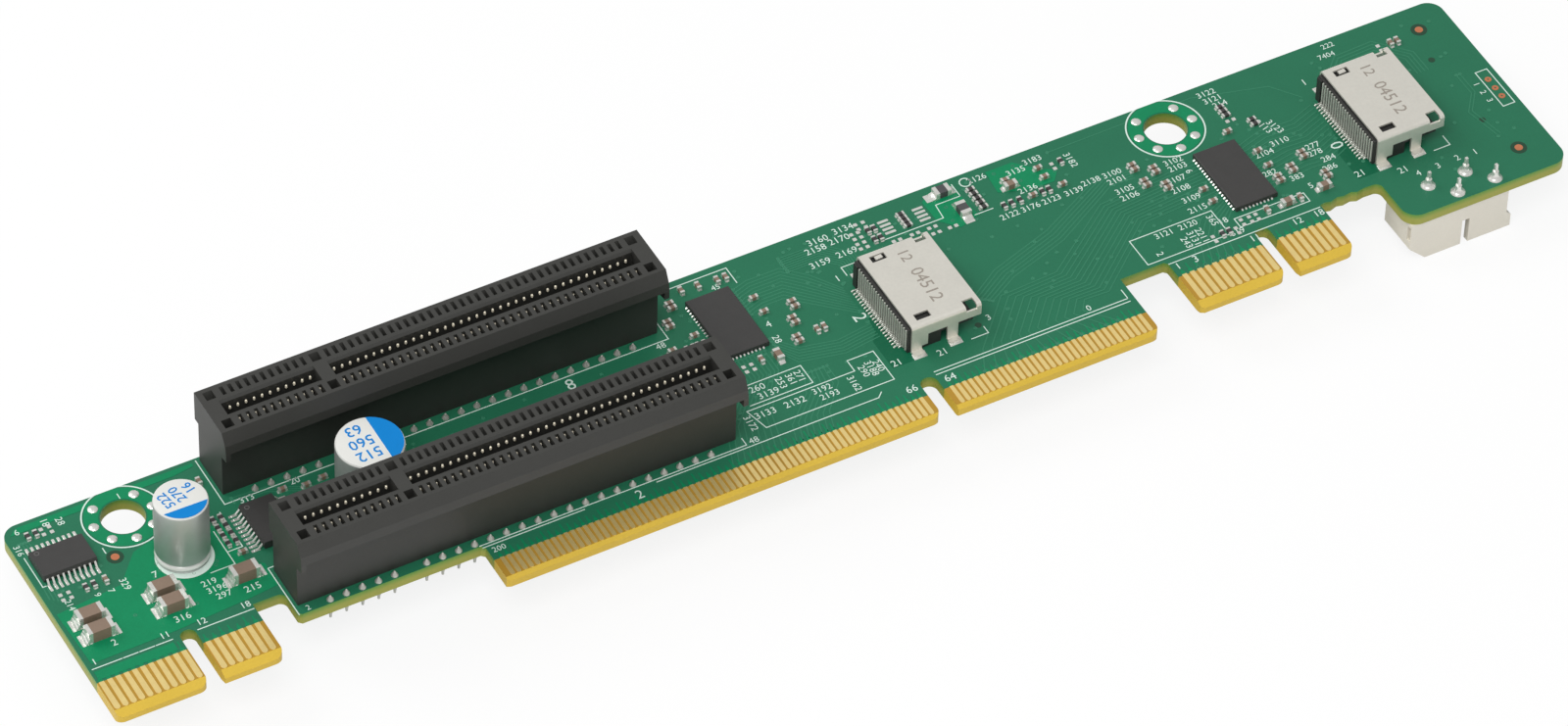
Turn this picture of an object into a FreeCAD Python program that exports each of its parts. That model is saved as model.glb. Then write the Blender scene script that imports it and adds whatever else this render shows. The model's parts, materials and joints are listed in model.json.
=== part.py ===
import FreeCAD, Part
import math
import os
import re
from types import SimpleNamespace

import Sketcher
from FreeCAD import Vector

# A server riser card: one printed circuit board that carries two eight-lane
# card slots, two shielded cable ports, a power header and small components,
# and plugs into the mainboard by three gold-fingered tabs on its front edge.
#
# Frame, in millimetres: the origin is the centre of the left mounting hole on
# the board's underside, +X runs along the card to the right, +Y to its back
# edge and +Z out of the component side.

SIZES = {
    # Circuit board
    "board_thickness": 1.57,
    "board_left": 13.3,
    "board_back": 4.41,
    "board_corner": 2.0,
    "tab_corner": 1.2,
    "small_corner": 0.4,
    "relief_corner": 0.9,
    "hole_radius": 2.6,
    "hole_spacing": 135.38,
    "lobe_width": 22.05,
    "lobe_front": 26.0,
    "snap_line": 19.2,
    "snap_length": 8.08,
    "snap_tooth": 0.22,
    "left_gap": 18.55,
    "right_gap": 19.0,
    "shelf_left": 10.9,
    "shelf_front": 22.4,
    # Edge tabs with 1 mm fingers, left and right
    "left_tab_start": -12.78,
    "left_tab_front": 26.8,
    "left_key_back": 18.6,
    "right_tab_step": 7.95,
    "right_tab_front": 27.2,
    "right_key_back": 19.25,
    "wide_pitch": 1.0,
    "wide_margin": 0.83,
    "wide_before_key": 11,
    "wide_after_key": 7,
    "wide_key_jump": 3.0,
    "wide_key_width": 1.9,
    "wide_finger_width": 0.7,
    "wide_finger_length": 4.45,
    "wide_finger_inset": 1.1,
    "wide_bevel": 1.05,
    "wide_bevel_depth": 0.38,
    # Middle tab with 0.8 mm fingers
    "fine_tab_start": 34.844,
    "fine_tab_front": 28.35,
    "fine_key_back": 22.45,
    "fine_pitch": 0.8,
    "fine_margin": 0.95,
    "fine_before_key": 68,
    "fine_after_key": 32,
    "fine_key_jump": 4.0,
    "fine_key_width": 2.15,
    "fine_finger_width": 0.55,
    "fine_finger_length": 2.92,
    "fine_finger_inset": 0.53,
    "fine_bevel": 0.5,
    "fine_bevel_depth": 0.3,
    "plating": 0.05,
    # Card slots
    "slot_left": 11.0,
    "rear_slot_row": 0.3,
    "front_slot_row": -18.62,
    "slot_length": 56.0,
    "slot_height": 11.25,
    "slot_back": 3.6,
    "slot_brow": 3.5,
    "lip_nose": 4.3,
    "lip_nose_height": 9.7,
    "lip_foot": 4.45,
    "lip_foot_height": 8.5,
    "slot_front_wall": 2.4,
    "undercut_height": 8.1,
    "slot_foot_inset": 0.4,
    "slot_foot_height": 7.4,
    "slot_plate_step": 0.4,
    "end_plate": 0.6,
    "card_gap": 1.84,
    "card_gap_depth": 8.3,
    "card_gap_left": 1.9,
    "card_gap_right": 54.0,
    "card_lead_in": 0.3,
    "key_place": 14.5,
    "key_bar": 1.7,
    "contact_first": 3.0,
    "contact_pitch": 1.0,
    "contact_key_jump": 3.0,
    "contacts_before_key": 11,
    "contacts_after_key": 38,
    "opening_width": 0.45,
    "opening_length": 1.3,
    "opening_near": 1.74,
    "opening_depth": 2.7,
    "window_width": 1.15,
    "contact_width": 0.3,
    "contact_root": 0.4,
    "contact_below_top": 0.45,
    "inner_row": 1.25,
    "outer_row": 3.25,
    "tail_base": 0.7,
    "tail_length": 1.3,
    "shoulder_base": 0.8,
    "shoulder_height": 0.8,
    # Can capacitors
    "small_can_radius": 3.15,
    "small_can_x": 3.5,
    "small_can_y": -8.1,
    "large_can_radius": 4.0,
    "large_can_x": 26.0,
    "large_can_y": -10.0,
    "can_height": 9.0,
    "can_rim": 0.45,
    "can_bead_height": 1.55,
    "can_bead_depth": 0.3,
    "can_lead_radius": 0.35,
    "small_can_lead_pitch": 2.5,
    "large_can_lead_pitch": 3.5,
    # Driver chips with gull-wing leads
    "driver_length": 6.5,
    "driver_width": 4.4,
    "driver_thickness": 1.0,
    "driver_standoff": 0.1,
    "driver_edge": 0.2,
    "driver_pins": 10,
    "driver_pitch": 0.65,
    "driver_span": 6.4,
    "driver_foot": 0.6,
    "driver_lead_width": 0.24,
    "driver_lead_thickness": 0.15,
    "left_driver_x": -8.85,
    "left_driver_y": -3.05,
    "centre_driver_x": 13.95,
    "centre_driver_y": -8.5,
    # Switch chips without leads
    "switch_length": 10.0,
    "switch_width": 5.6,
    "switch_thickness": 0.75,
    "switch_edge": 0.08,
    "left_switch_step": 7.3,
    "left_switch_y": -4.75,
    "right_switch_step": 13.31,
    "right_switch_y": -10.7,
    # Shielded cable ports
    "left_port_step": 16.6,
    "left_port_y": -18.35,
    "right_port_step": 1.2,
    "right_port_y": -16.5,
    "port_length": 9.1,
    "port_width": 13.2,
    "port_height": 4.1,
    "port_sheet": 0.25,
    "port_bend": 0.5,
    "port_skirt": 2.3,
    "port_leg_width": 1.4,
    "port_leg_jump": 4.7,
    "port_leg_flare": 0.8,
    "port_tab_start": 1.4,
    "port_tab_width": 0.75,
    "port_tab_foot": 0.7,
    "port_block_length": 4.0,
    "port_block_overhang": 0.4,
    "port_tongue_length": 8.2,
    "port_tongue_thickness": 0.9,
    "port_tongue_height": 1.6,
    "port_clearance": 0.05,
    "spring_window_start": 1.1,
    "spring_window_length": 1.9,
    "spring_window_width": 1.0,
    "spring_window_inset": 0.9,
    "fold_window_start": 7.1,
    "fold_window_length": 1.4,
    "fold_window_width": 1.3,
    "port_contacts": 42,
    "port_contact_pitch": 0.25,
    "port_contact_width": 0.17,
    "port_contact_short": 0.45,
    "port_contact_long": 1.0,
    "port_contact_rise": 0.4,
    # Power header under the right lobe
    "header_left_step": 0.5,
    "header_front_step": 0.1,
    "header_length": 13.35,
    "header_depth": 5.6,
    "header_height": 6.1,
    "header_wall": 0.8,
    "header_floor": 1.5,
    "header_chamfer": 2.3,
    "header_slot_left": 7.15,
    "header_slot_width": 1.0,
    "header_slot_top": 2.3,
    "header_rib": 0.65,
    "header_rib_height": 1.8,
    "header_first_pin": 4.35,
    "header_pitch": 2.55,
    "header_back_pins": 3.7,
    "header_front_pins": 1.2,
    "header_groove_height": 2.2,
    "header_groove_width": 0.7,
    "header_groove_inset": 0.1,
    "header_groove_top": 0.5,
    "header_groove_depth": 0.4,
    "header_pin": 0.64,
    "header_pin_above": 2.2,
    "header_pin_below": 5.0,
    "header_pin_clearance": 0.05,
    # Chip components
    "bulk_length": 3.2,
    "bulk_width": 1.6,
    "bulk_end": 0.5,
    "chip_length": 1.0,
    "chip_width": 0.5,
    "resistor_height": 0.35,
    "capacitor_height": 0.5,
    "medium_length": 1.6,
    "medium_width": 0.8,
    "medium_height": 0.8,
    "bead_length": 2.0,
    "bead_width": 1.25,
    "bead_height": 0.9,
}

# Places that follow from the sizes: along the front edge one after another, and beside their neighbours.
PLACES = {
    "wide_span": "(wide_before_key + wide_after_key - 2) * wide_pitch + wide_key_jump",
    "fine_span": "(fine_before_key + fine_after_key - 2) * fine_pitch + fine_key_jump",
    "right_tab_start": "fine_tab_start + fine_span + right_tab_step",
    "lobe_left": "right_tab_start + wide_span + wide_margin + snap_length",
    "board_right": "lobe_left + lobe_width",
    "left_switch_x": "slot_left + slot_length + left_switch_step",
    "left_port_x": "left_switch_x + left_port_step",
    "right_switch_x": "right_tab_start + right_switch_step",
    "right_port_x": "lobe_left + right_port_step",
    "header_left": "lobe_left + header_left_step",
    "header_front": "lobe_front - header_front_step",
    "header_first_x": "header_left + header_first_pin",
    "header_back_row": "header_back_pins - header_front",
    "header_front_row": "header_front_pins - header_front",
}

document = FreeCAD.newDocument("RiserCard")
sheet = document.addObject("Spreadsheet::Sheet", "Sizes")
cells = {alias: str(number) for alias, number in SIZES.items()}
cells.update({alias: "=" + formula for alias, formula in PLACES.items()})
for row, (alias, content) in enumerate(cells.items(), start=1):
    sheet.set(f"A{row}", alias)
    sheet.set(f"B{row}", content)
    sheet.setAlias(f"B{row}", alias)
document.recompute()
size = SimpleNamespace(**{alias: sheet.get(alias) for alias in cells})


# ---------------------------------------------------------------- drawing tools

TOUCHING = 1e-4  # how far apart two points may be and still count as one


def bound(formula):
    """Write a formula of size names as an expression on the sheet."""
    return re.sub(r"[a-z]\w+", lambda word: "Sizes." + word.group(), str(formula))


def place(piece, x="0", y="0", z="0"):
    """Bind a piece's place to the sheet."""
    for axis, formula in zip("xyz", (x, y, z)):
        piece.setExpression(f"Placement.Base.{axis}", bound(formula))
    return piece


def new_body(label):
    body = document.addObject("PartDesign::Body", label)
    body.Label = label
    return body


def datum(body, role):
    """One of the body's own planes or axes."""
    return next(feature for feature in body.Origin.OriginFeatures if feature.Role == role)


def draw(body, plane, loops, offset="0"):
    """Sketch closed loops of straight edges, each corner bound to the sheet."""
    sketch = body.newObject("Sketcher::SketchObject", "Sketch")
    sketch.AttachmentSupport = (datum(body, plane + "_Plane"), [""])
    sketch.MapMode = "FlatFace"
    sketch.setExpression("AttachmentOffset.Base.z", bound(offset))
    for loop in loops:
        draw_loop(sketch, loop)
    return sketch


def draw_loop(sketch, corners):
    """Add one polygon: drawn as a ring, then pulled to its bound corners."""
    count = len(corners)
    first = sketch.GeometryCount
    turn = 2 * math.pi / count
    ring = [Vector(math.cos(i * turn), math.sin(i * turn), 0) for i in range(count)]
    for i in range(count):
        sketch.addGeometry(Part.LineSegment(ring[i], ring[(i + 1) % count]))
    for i in range(count):
        sketch.addConstraint(Sketcher.Constraint("Coincident", first + i, 2, first + (i + 1) % count, 1))
    for i, corner in enumerate(corners):
        starts = (("DistanceX", corner[0], ring[i].x), ("DistanceY", corner[1], ring[i].y))
        for kind, formula, start in starts:
            number = sketch.addConstraint(Sketcher.Constraint(kind, -1, 1, first + i, 1, start))
            sketch.setExpression(f"Constraints[{number}]", bound(formula))


def draw_circle(sketch, x, y, radius):
    """Add one circle, its centre and radius bound to the sheet."""
    number = sketch.addGeometry(Part.Circle(Vector(1, 1, 0), Vector(0, 0, 1), 1))
    bounds = (("DistanceX", x), ("DistanceY", y))
    for kind, formula in bounds:
        constraint = sketch.addConstraint(Sketcher.Constraint(kind, -1, 1, number, 3, 1.0))
        sketch.setExpression(f"Constraints[{constraint}]", bound(formula))
    constraint = sketch.addConstraint(Sketcher.Constraint("Radius", number, 1.0))
    sketch.setExpression(f"Constraints[{constraint}]", bound(radius))


def box_loop(left, low, right, high):
    return [(left, low), (right, low), (right, high), (left, high)]


def pad(body, sketch, length, reverse=False):
    feature = body.newObject("PartDesign::Pad", "Pad")
    feature.Profile = sketch
    feature.setExpression("Length", bound(length))
    feature.Reversed = reverse
    return feature


def pocket(body, sketch, length, reverse=False):
    feature = body.newObject("PartDesign::Pocket", "Pocket")
    feature.Profile = sketch
    feature.setExpression("Length", bound(length))
    feature.Reversed = reverse
    return feature


def repeat(body, feature, count, pitch):
    """Repeat a feature along X."""
    pattern = body.newObject("PartDesign::LinearPattern", "Pattern")
    pattern.Originals = [feature]
    pattern.Direction = (datum(body, "X_Axis"), [""])
    pattern.setExpression("Length", bound(f"({count} - 1) * {pitch}"))
    pattern.setExpression("Occurrences", bound(count))
    body.Tip = pattern
    return pattern


def round_edges(body, radius, wanted):
    """Fillet the edges of the body's last feature that the test picks."""
    return dress_edges(body, "PartDesign::Fillet", "Radius", radius, wanted)


def bevel_edges(body, width, wanted):
    return dress_edges(body, "PartDesign::Chamfer", "Size", width, wanted)


def dress_edges(body, kind, measure, amount, wanted):
    document.recompute()
    base = body.Tip
    names = [f"Edge{i}" for i, edge in enumerate(base.Shape.Edges, start=1) if wanted(edge)]
    feature = body.newObject(kind, "Dressed")
    feature.Base = (base, names)
    feature.setExpression(measure, bound(amount))
    body.Tip = feature
    return feature


def is_upright(edge):
    """True for a straight edge that runs along Z."""
    low, high = edge.Vertexes[0].Point, edge.Vertexes[-1].Point
    return math.hypot(high.x - low.x, high.y - low.y) < 1e-6 and abs(high.z - low.z) > 1e-3


def group(label, solids, x=0.0, y=0.0, z=0.0):
    """Hold many like pieces as separate solids of one sub-part."""
    feature = document.addObject("Part::Feature", label)
    feature.Label = label
    feature.Shape = Part.makeCompound(solids)
    feature.Placement = FreeCAD.Placement(Vector(x, y, z), FreeCAD.Rotation())
    return feature


def block(x0, y0, z0, x1, y1, z1):
    """A solid between two corners."""
    return Part.makeBox(x1 - x0, y1 - y0, z1 - z0, Vector(x0, y0, z0))


def prism(corners, along):
    """Extrude a closed outline of points."""
    return Part.Face(Part.makePolygon(corners + corners[:1])).extrude(along)


def spike(base, height):
    """A four-sided point on a square base, upwards or, with height < 0, down."""
    half = base / 2
    ring = [Vector(-half, -half, 0), Vector(half, -half, 0), Vector(half, half, 0), Vector(-half, half, 0)]
    tip = Vector(0, 0, height)
    faces = [Part.Face(Part.makePolygon(ring + ring[:1]))]
    for i in range(4):
        faces.append(Part.Face(Part.makePolygon([ring[i], ring[(i + 1) % 4], tip, ring[i]])))
    return Part.Solid(Part.Shell(faces))


# ---------------------------------------------------------------- circuit board

def key_middle(start, before, pitch, jump):
    """Where a tab's key slot is centred, half way over the jump in its fingers."""
    return f"({start} + ({before} - 1) * {pitch} + {jump} / 2)"


def board_outline():
    """The board's corners from the back left, each with its rounding, clockwise."""
    wide = ("wide_before_key", "wide_pitch", "wide_key_jump")
    left_key = key_middle("left_tab_start", *wide)
    right_key = key_middle("right_tab_start", *wide)
    fine_key = key_middle("fine_tab_start", "fine_before_key", "fine_pitch", "fine_key_jump")
    left = "-board_left"
    corners = [
        (left, "board_back", "board_corner"),
        ("board_right", "board_back", "board_corner"),
        ("board_right", "-lobe_front", "board_corner"),
        ("lobe_left", "-lobe_front", "board_corner"),
        ("lobe_left", "-snap_line", "relief_corner"),
    ]
    corners += snapped_edge()
    corners += tab_outline(
        "right_tab_start + wide_span + wide_margin", "right_tab_start - wide_margin", "right_tab_front",
        right_key, "wide_key_width", "right_key_back", "snap_line", "right_gap")
    corners += tab_outline(
        "fine_tab_start + fine_span + fine_margin", "fine_tab_start - fine_margin", "fine_tab_front",
        fine_key, "fine_key_width", "fine_key_back", "right_gap", "shelf_front")
    corners += [
        ("shelf_left", "-shelf_front", "small_corner"),
        ("shelf_left", "-left_gap", "relief_corner"),
    ]
    corners += tab_outline(
        "left_tab_start + wide_span + wide_margin", None, "left_tab_front",
        left_key, "wide_key_width", "left_key_back", "left_gap", None)
    corners.append((left, "-left_tab_front", "relief_corner"))
    return corners


def snapped_edge():
    """The rough edge right of the right tab, where a strip was snapped off."""
    teeth = [(0.26, 0.3), (0.38, -0.5), (0.47, 0.9), (0.6, 0.1), (0.7, 1.0), (0.82, -0.4), (0.92, 0.5)]
    return [(f"lobe_left - snap_length * {part}", f"snap_tooth * {lean} - snap_line", None) for part, lean in teeth]


def tab_outline(right, left, front, key, key_width, key_back, right_gap, left_gap):
    """One tab from its right root to its left root, round its key slot."""
    key_right, key_left = f"{key} + {key_width} / 2", f"{key} - {key_width} / 2"
    corners = [
        (right, f"-{right_gap}", None),
        (right, f"-{front}", "tab_corner"),
        (key_right, f"-{front}", None),
        (key_right, f"-{key_back}", f"{key_width} * 0.48"),
        (key_left, f"-{key_back}", f"{key_width} * 0.48"),
        (key_left, f"-{front}", "tab_corner"),
    ]
    if left is not None:
        corners += [(left, f"-{front}", "small_corner"), (left, f"-{left_gap}", "small_corner")]
    return corners


def circuit_board():
    """The laminate: outline with three keyed tabs, bevelled tab edges and bores."""
    body = new_body("circuit_board")
    corners = board_outline()
    outline = draw(body, "XY", [[corner[:2] for corner in corners]])
    pad(body, outline, "board_thickness")
    document.recompute()
    points = [outline.getPoint(i, 1) for i in range(len(corners))]
    for radius in dict.fromkeys(corner[2] for corner in corners if corner[2]):
        chosen = [point for point, corner in zip(points, corners) if corner[2] == radius]
        dress = bevel_edges if radius == "small_corner" else round_edges
        dress(body, radius, lambda edge: is_upright(edge) and stands_on(edge, chosen))
    bevel_tabs(body)
    drill_board(body)
    return body


def stands_on(edge, points):
    foot = edge.Vertexes[0].Point
    return any(math.hypot(foot.x - point.x, foot.y - point.y) < TOUCHING for point in points)


def bevel_tabs(body):
    """Slope both faces of each tab's front edge, so that it enters its socket."""
    wide_reach, fine_reach = "wide_span + 2 * wide_margin", "fine_span + 2 * fine_margin"
    tabs = [
        ("-board_left", f"left_tab_start + board_left + {wide_reach}", "left_tab_front", "wide"),
        ("right_tab_start - wide_margin", wide_reach, "right_tab_front", "wide"),
        ("fine_tab_start - fine_margin", fine_reach, "fine_tab_front", "fine"),
    ]
    for left, reach, front, kind in tabs:
        under = [(f"-{front}", "0"), (f"{kind}_bevel - {front}", "0"), (f"-{front}", f"{kind}_bevel_depth")]
        over = [(y, f"board_thickness - ({z})") for y, z in under]
        sketch = draw(body, "YZ", [under, over], offset=left)
        body.Tip = pocket(body, sketch, reach, reverse=True)


def drill_board(body):
    """Two mounting bores and the four holes of the power header."""
    sketch = draw(body, "XY", [], offset="board_thickness")
    draw_circle(sketch, "0", "0", "hole_radius")
    draw_circle(sketch, "hole_spacing", "0", "hole_radius")
    for loop in header_pin_loops("header_pin / 2 + header_pin_clearance", "0", "0"):
        draw_loop(sketch, loop)
    body.Tip = pocket(body, sketch, "board_thickness")


# ---------------------------------------------------------------- edge fingers

def finger_places(start, before, after, pitch, jump):
    """The X of every finger: a run before the key slot and a run after it."""
    first = [start + i * pitch for i in range(int(before))]
    return first + [first[-1] + jump + i * pitch for i in range(int(after))]


def finger_row(label, places, width, length, inset, front, z):
    """Gold-plated fingers, flat on one face of a tab."""
    near = inset - front
    solids = [block(x - width / 2, near, z, x + width / 2, near + length, z + size.plating) for x in places]
    return group(label, solids)


def edge_fingers():
    """Each tab has a row of fingers on its upper and on its under face."""
    wide = (size.wide_before_key, size.wide_after_key, size.wide_pitch, size.wide_key_jump)
    fine = (size.fine_before_key, size.fine_after_key, size.fine_pitch, size.fine_key_jump)
    wide_shape = (size.wide_finger_width, size.wide_finger_length, size.wide_finger_inset)
    fine_shape = (size.fine_finger_width, size.fine_finger_length, size.fine_finger_inset)
    rows = [
        ("left_edge_fingers", finger_places(size.left_tab_start, *wide), wide_shape, size.left_tab_front),
        ("middle_edge_fingers", finger_places(size.fine_tab_start, *fine), fine_shape, size.fine_tab_front),
        ("right_edge_fingers", finger_places(size.right_tab_start, *wide), wide_shape, size.right_tab_front),
    ]
    pieces = []
    for label, places, shape, front in rows:
        pieces.append(finger_row(label, places, *shape, front, size.board_thickness))
        pieces.append(finger_row(label + "_under", places, *shape, front, -size.plating))
    return pieces


# ---------------------------------------------------------------- card slots

def slot_housing(label, row):
    """A moulded housing: lipped section, end plates, card gap and contact openings."""
    body = new_body(label)
    base = [("slot_back", "0"), ("slot_back", "slot_height"), ("-slot_brow", "slot_height")]
    lip = [("-lip_nose", "lip_nose_height"), ("-lip_foot", "lip_foot_height")]
    wall = [("-slot_front_wall", "undercut_height"), ("-slot_front_wall", "0")]
    pad(body, draw(body, "YZ", [base + lip + wall]), "slot_length")
    plate = [("-lip_foot", "slot_foot_height"), ("-slot_front_wall", "slot_foot_height - slot_plate_step")]
    plate_loop = [("0", "lip_foot_height"), ("-lip_foot", "lip_foot_height")] + plate + [("0", "slot_foot_height - slot_plate_step")]
    for start in ("0", "slot_length - end_plate"):
        pad(body, draw(body, "YZ", [plate_loop], offset=start), "end_plate")
    for start in ("0", "slot_length - slot_foot_inset"):
        foot = box_loop("-lip_foot", "0", "slot_back", "slot_foot_height - slot_plate_step")
        pocket(body, draw(body, "YZ", [foot], offset=start), "slot_foot_inset", reverse=True)
    card_gap(body)
    contact_openings(body)
    return place(body, "slot_left", row, "board_thickness")


def card_gap(body):
    """The gap that a card's edge enters, divided by the key bar, with a lead-in."""
    halves = [("card_gap_left", "key_place - key_bar / 2"), ("key_place + key_bar / 2", "card_gap_right")]
    loops = [box_loop(left, "-card_gap / 2", right, "card_gap / 2") for left, right in halves]
    body.Tip = pocket(body, draw(body, "XY", loops, offset="slot_height"), "card_gap_depth")
    bevel_edges(body, "card_lead_in", is_gap_mouth)


def is_gap_mouth(edge):
    """True for the long upper edges of the card gap."""
    centre = edge.CenterOfMass
    on_top = abs(centre.z - size.slot_height) < TOUCHING
    beside = abs(abs(centre.y) - size.card_gap / 2) < TOUCHING
    return on_top and beside and edge.Length > size.card_gap * 2


def contact_openings(body):
    """A narrow opening on each side of the gap for every contact, and wide end windows."""
    runs = [("contact_first", "contacts_before_key"), (after_key(), "contacts_after_key")]
    for first, count in runs:
        cut = opening_pair(body, f"{first} - opening_width / 2", "opening_width")
        repeat(body, cut, count, "contact_pitch")
    middles = ("card_gap_left - window_width / 2", "key_place", "card_gap_right + window_width / 2")
    for middle in middles:
        body.Tip = opening_pair(body, f"{middle} - window_width / 2", "window_width")


def after_key():
    """The place of the first contact to the right of the key bar."""
    return "(contact_first + (contacts_before_key - 1) * contact_pitch + contact_key_jump)"


def opening_pair(body, left, width):
    """One opening in front of the card gap and one behind it: upright inside, sloped outside."""
    far, floor = "opening_near + opening_length", "slot_height - opening_depth"
    behind = [("opening_near", "slot_height"), (far, "slot_height"), ("opening_near", floor)]
    in_front = [(f"-({y})", z) for y, z in behind]
    return pocket(body, draw(body, "YZ", [behind, in_front], offset=left), width, reverse=True)


def contact_columns():
    """The X of every contact, from the slot's left end."""
    counts = (size.contacts_before_key, size.contacts_after_key)
    return finger_places(size.contact_first, *counts, size.contact_pitch, size.contact_key_jump)


def slot_contacts(label, row):
    """Contact heads: each rises from its opening's foot against the inner wall."""
    low, high = size.slot_height - size.opening_depth, size.slot_height - size.contact_below_top
    slope = size.opening_depth / size.opening_length
    solids = []
    for x in contact_columns():
        left = x - size.contact_width / 2
        for side in (-1, 1):
            near, far = side * size.opening_near, side * (size.opening_near + size.contact_root)
            elbow = low + size.contact_root * slope
            outline = [Vector(left, near, low), Vector(left, far, elbow), Vector(left, near, high)]
            solids.append(prism(outline, Vector(size.contact_width, 0, 0)))
    return group(label, solids, size.slot_left, row, size.board_thickness)


def slot_tails(label, row):
    """Soldered contact tails under the board, in two staggered rows on each side."""
    solids = []
    for number, x in enumerate(contact_columns()):
        reach = size.outer_row if is_outer(number) else size.inner_row
        for y in (-reach, reach):
            solids.append(spike(size.tail_base, -size.tail_length).translated(Vector(x, y, 0)))
    return group(label, solids, size.slot_left, row, 0.0)


def is_outer(number):
    """Contacts take the outer row in turn, starting again after the key bar."""
    before = int(size.contacts_before_key)
    return number % 2 == 1 if number < before else (number - before) % 2 == 0


def slot_shoulders(label, row):
    """The shoulders of the front outer contacts, where they leave the housing's foot."""
    solids = []
    for number, x in enumerate(contact_columns()):
        if is_outer(number):
            shoulder = spike(size.shoulder_base, size.shoulder_height)
            solids.append(shoulder.translated(Vector(x, -size.outer_row, 0)))
    return group(label, solids, size.slot_left, row, size.board_thickness)


def card_slots():
    pieces = []
    for side in ("rear", "front"):
        row = getattr(size, f"{side}_slot_row")
        pieces.append(slot_housing(f"{side}_slot_housing", f"{side}_slot_row"))
        pieces.append(slot_contacts(f"{side}_slot_contacts", row))
        pieces.append(slot_tails(f"{side}_slot_tails", row))
        pieces.append(slot_shoulders(f"{side}_slot_shoulders", row))
    return pieces


# ---------------------------------------------------------------- can capacitors

def capacitor_can(label, radius, x, y):
    """A drawn aluminium can with a rolled-in groove near its foot and a bevelled rim."""
    body = new_body(label)
    groove = "can_bead_height"
    outline = [
        ("0", "0"),
        (radius, "0"),
        (radius, f"{groove} - can_bead_depth"),
        (f"{radius} - can_bead_depth", groove),
        (radius, f"{groove} + can_bead_depth"),
        (radius, "can_height - can_rim"),
        (f"{radius} - can_rim", "can_height"),
        ("0", "can_height"),
    ]
    turned = body.newObject("PartDesign::Revolution", "Turned")
    sketch = draw(body, "XZ", [outline])
    turned.Profile = sketch
    turned.ReferenceAxis = (sketch, ["V_Axis"])
    turned.Angle = 360
    body.Tip = turned
    return place(body, x, y, "board_thickness")


def capacitor_leads():
    """The soldered lead ends of both cans, under the board."""
    solids = []
    cans = [
        (size.small_can_x, size.small_can_y, size.small_can_lead_pitch),
        (size.large_can_x, size.large_can_y, size.large_can_lead_pitch),
    ]
    for x, y, pitch in cans:
        for side in (-1, 1):
            lead = spike(4 * size.can_lead_radius, -size.tail_length)
            solids.append(lead.translated(Vector(x, y + side * pitch / 2, 0)))
    return group("capacitor_leads", solids)


def can_capacitors():
    return [
        capacitor_can("small_capacitor_can", "small_can_radius", "small_can_x", "small_can_y"),
        capacitor_can("large_capacitor_can", "large_can_radius", "large_can_x", "large_can_y"),
        capacitor_leads(),
    ]


# ---------------------------------------------------------------- chips with leads

def driver_body(label, x, y, turned):
    """A moulded body whose four sides slope to the parting line."""
    body = new_body(label)
    half = "driver_width / 2"
    waist = "driver_thickness / 2"
    section = [
        (f"-{half} + driver_edge", "0"), (f"{half} - driver_edge", "0"), (half, waist),
        (f"{half} - driver_edge", "driver_thickness"), (f"-{half} + driver_edge", "driver_thickness"),
        (f"-{half}", waist),
    ]
    body.Tip = pad(body, draw(body, "YZ", [section], offset="-driver_length / 2"), "driver_length")
    place(body, x, y, "board_thickness + driver_standoff")
    body.Placement.Rotation = FreeCAD.Rotation(Vector(0, 0, 1), 90 if turned else 0)
    return body


def driver_leads(label, x, y, turned):
    """Gull-wing leads along both long sides, each from the parting line to the board."""
    inner, outer = size.driver_width / 2, size.driver_span / 2
    waist = size.driver_standoff + size.driver_thickness / 2
    thick, heel = size.driver_lead_thickness, outer - size.driver_foot
    root = inner + size.driver_edge * thick / size.driver_thickness
    profile = [(root, waist), (heel, 0), (outer, 0), (outer, thick), (heel + thick, thick), (inner, waist + thick)]
    solids = []
    for number in range(int(size.driver_pins)):
        along = (number - (size.driver_pins - 1) / 2) * size.driver_pitch - size.driver_lead_width / 2
        for side in (-1, 1):
            corners = [Vector(along, side * reach, height) for reach, height in profile]
            solids.append(prism(corners, Vector(size.driver_lead_width, 0, 0)))
    feature = group(label, solids)
    turn = FreeCAD.Rotation(Vector(0, 0, 1), 90 if turned else 0)
    feature.Placement = FreeCAD.Placement(Vector(x, y, size.board_thickness), turn)
    return feature


def driver_chips():
    """The left chip has its leads front and back, the centre one left and right."""
    pieces = []
    for side, turned in (("left", False), ("centre", True)):
        x, y = f"{side}_driver_x", f"{side}_driver_y"
        pieces.append(driver_body(f"{side}_driver_body", x, y, turned))
        pieces.append(driver_leads(f"{side}_driver_leads", getattr(size, x), getattr(size, y), turned))
    return pieces


def switch_chips():
    """Flat leadless packages, each a single moulding."""
    pieces = []
    for side in ("left", "right"):
        body = new_body(f"{side}_switch_chip")
        loop = box_loop("-switch_width / 2", "-switch_length / 2", "switch_width / 2", "switch_length / 2")
        pad(body, draw(body, "XY", [loop]), "switch_thickness")
        bevel_edges(body, "switch_edge", lambda edge: edge.CenterOfMass.z > size.switch_thickness * 0.99)
        pieces.append(place(body, f"{side}_switch_x", f"{side}_switch_y", "board_thickness"))
    return pieces


# ---------------------------------------------------------------- cable ports

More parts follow.
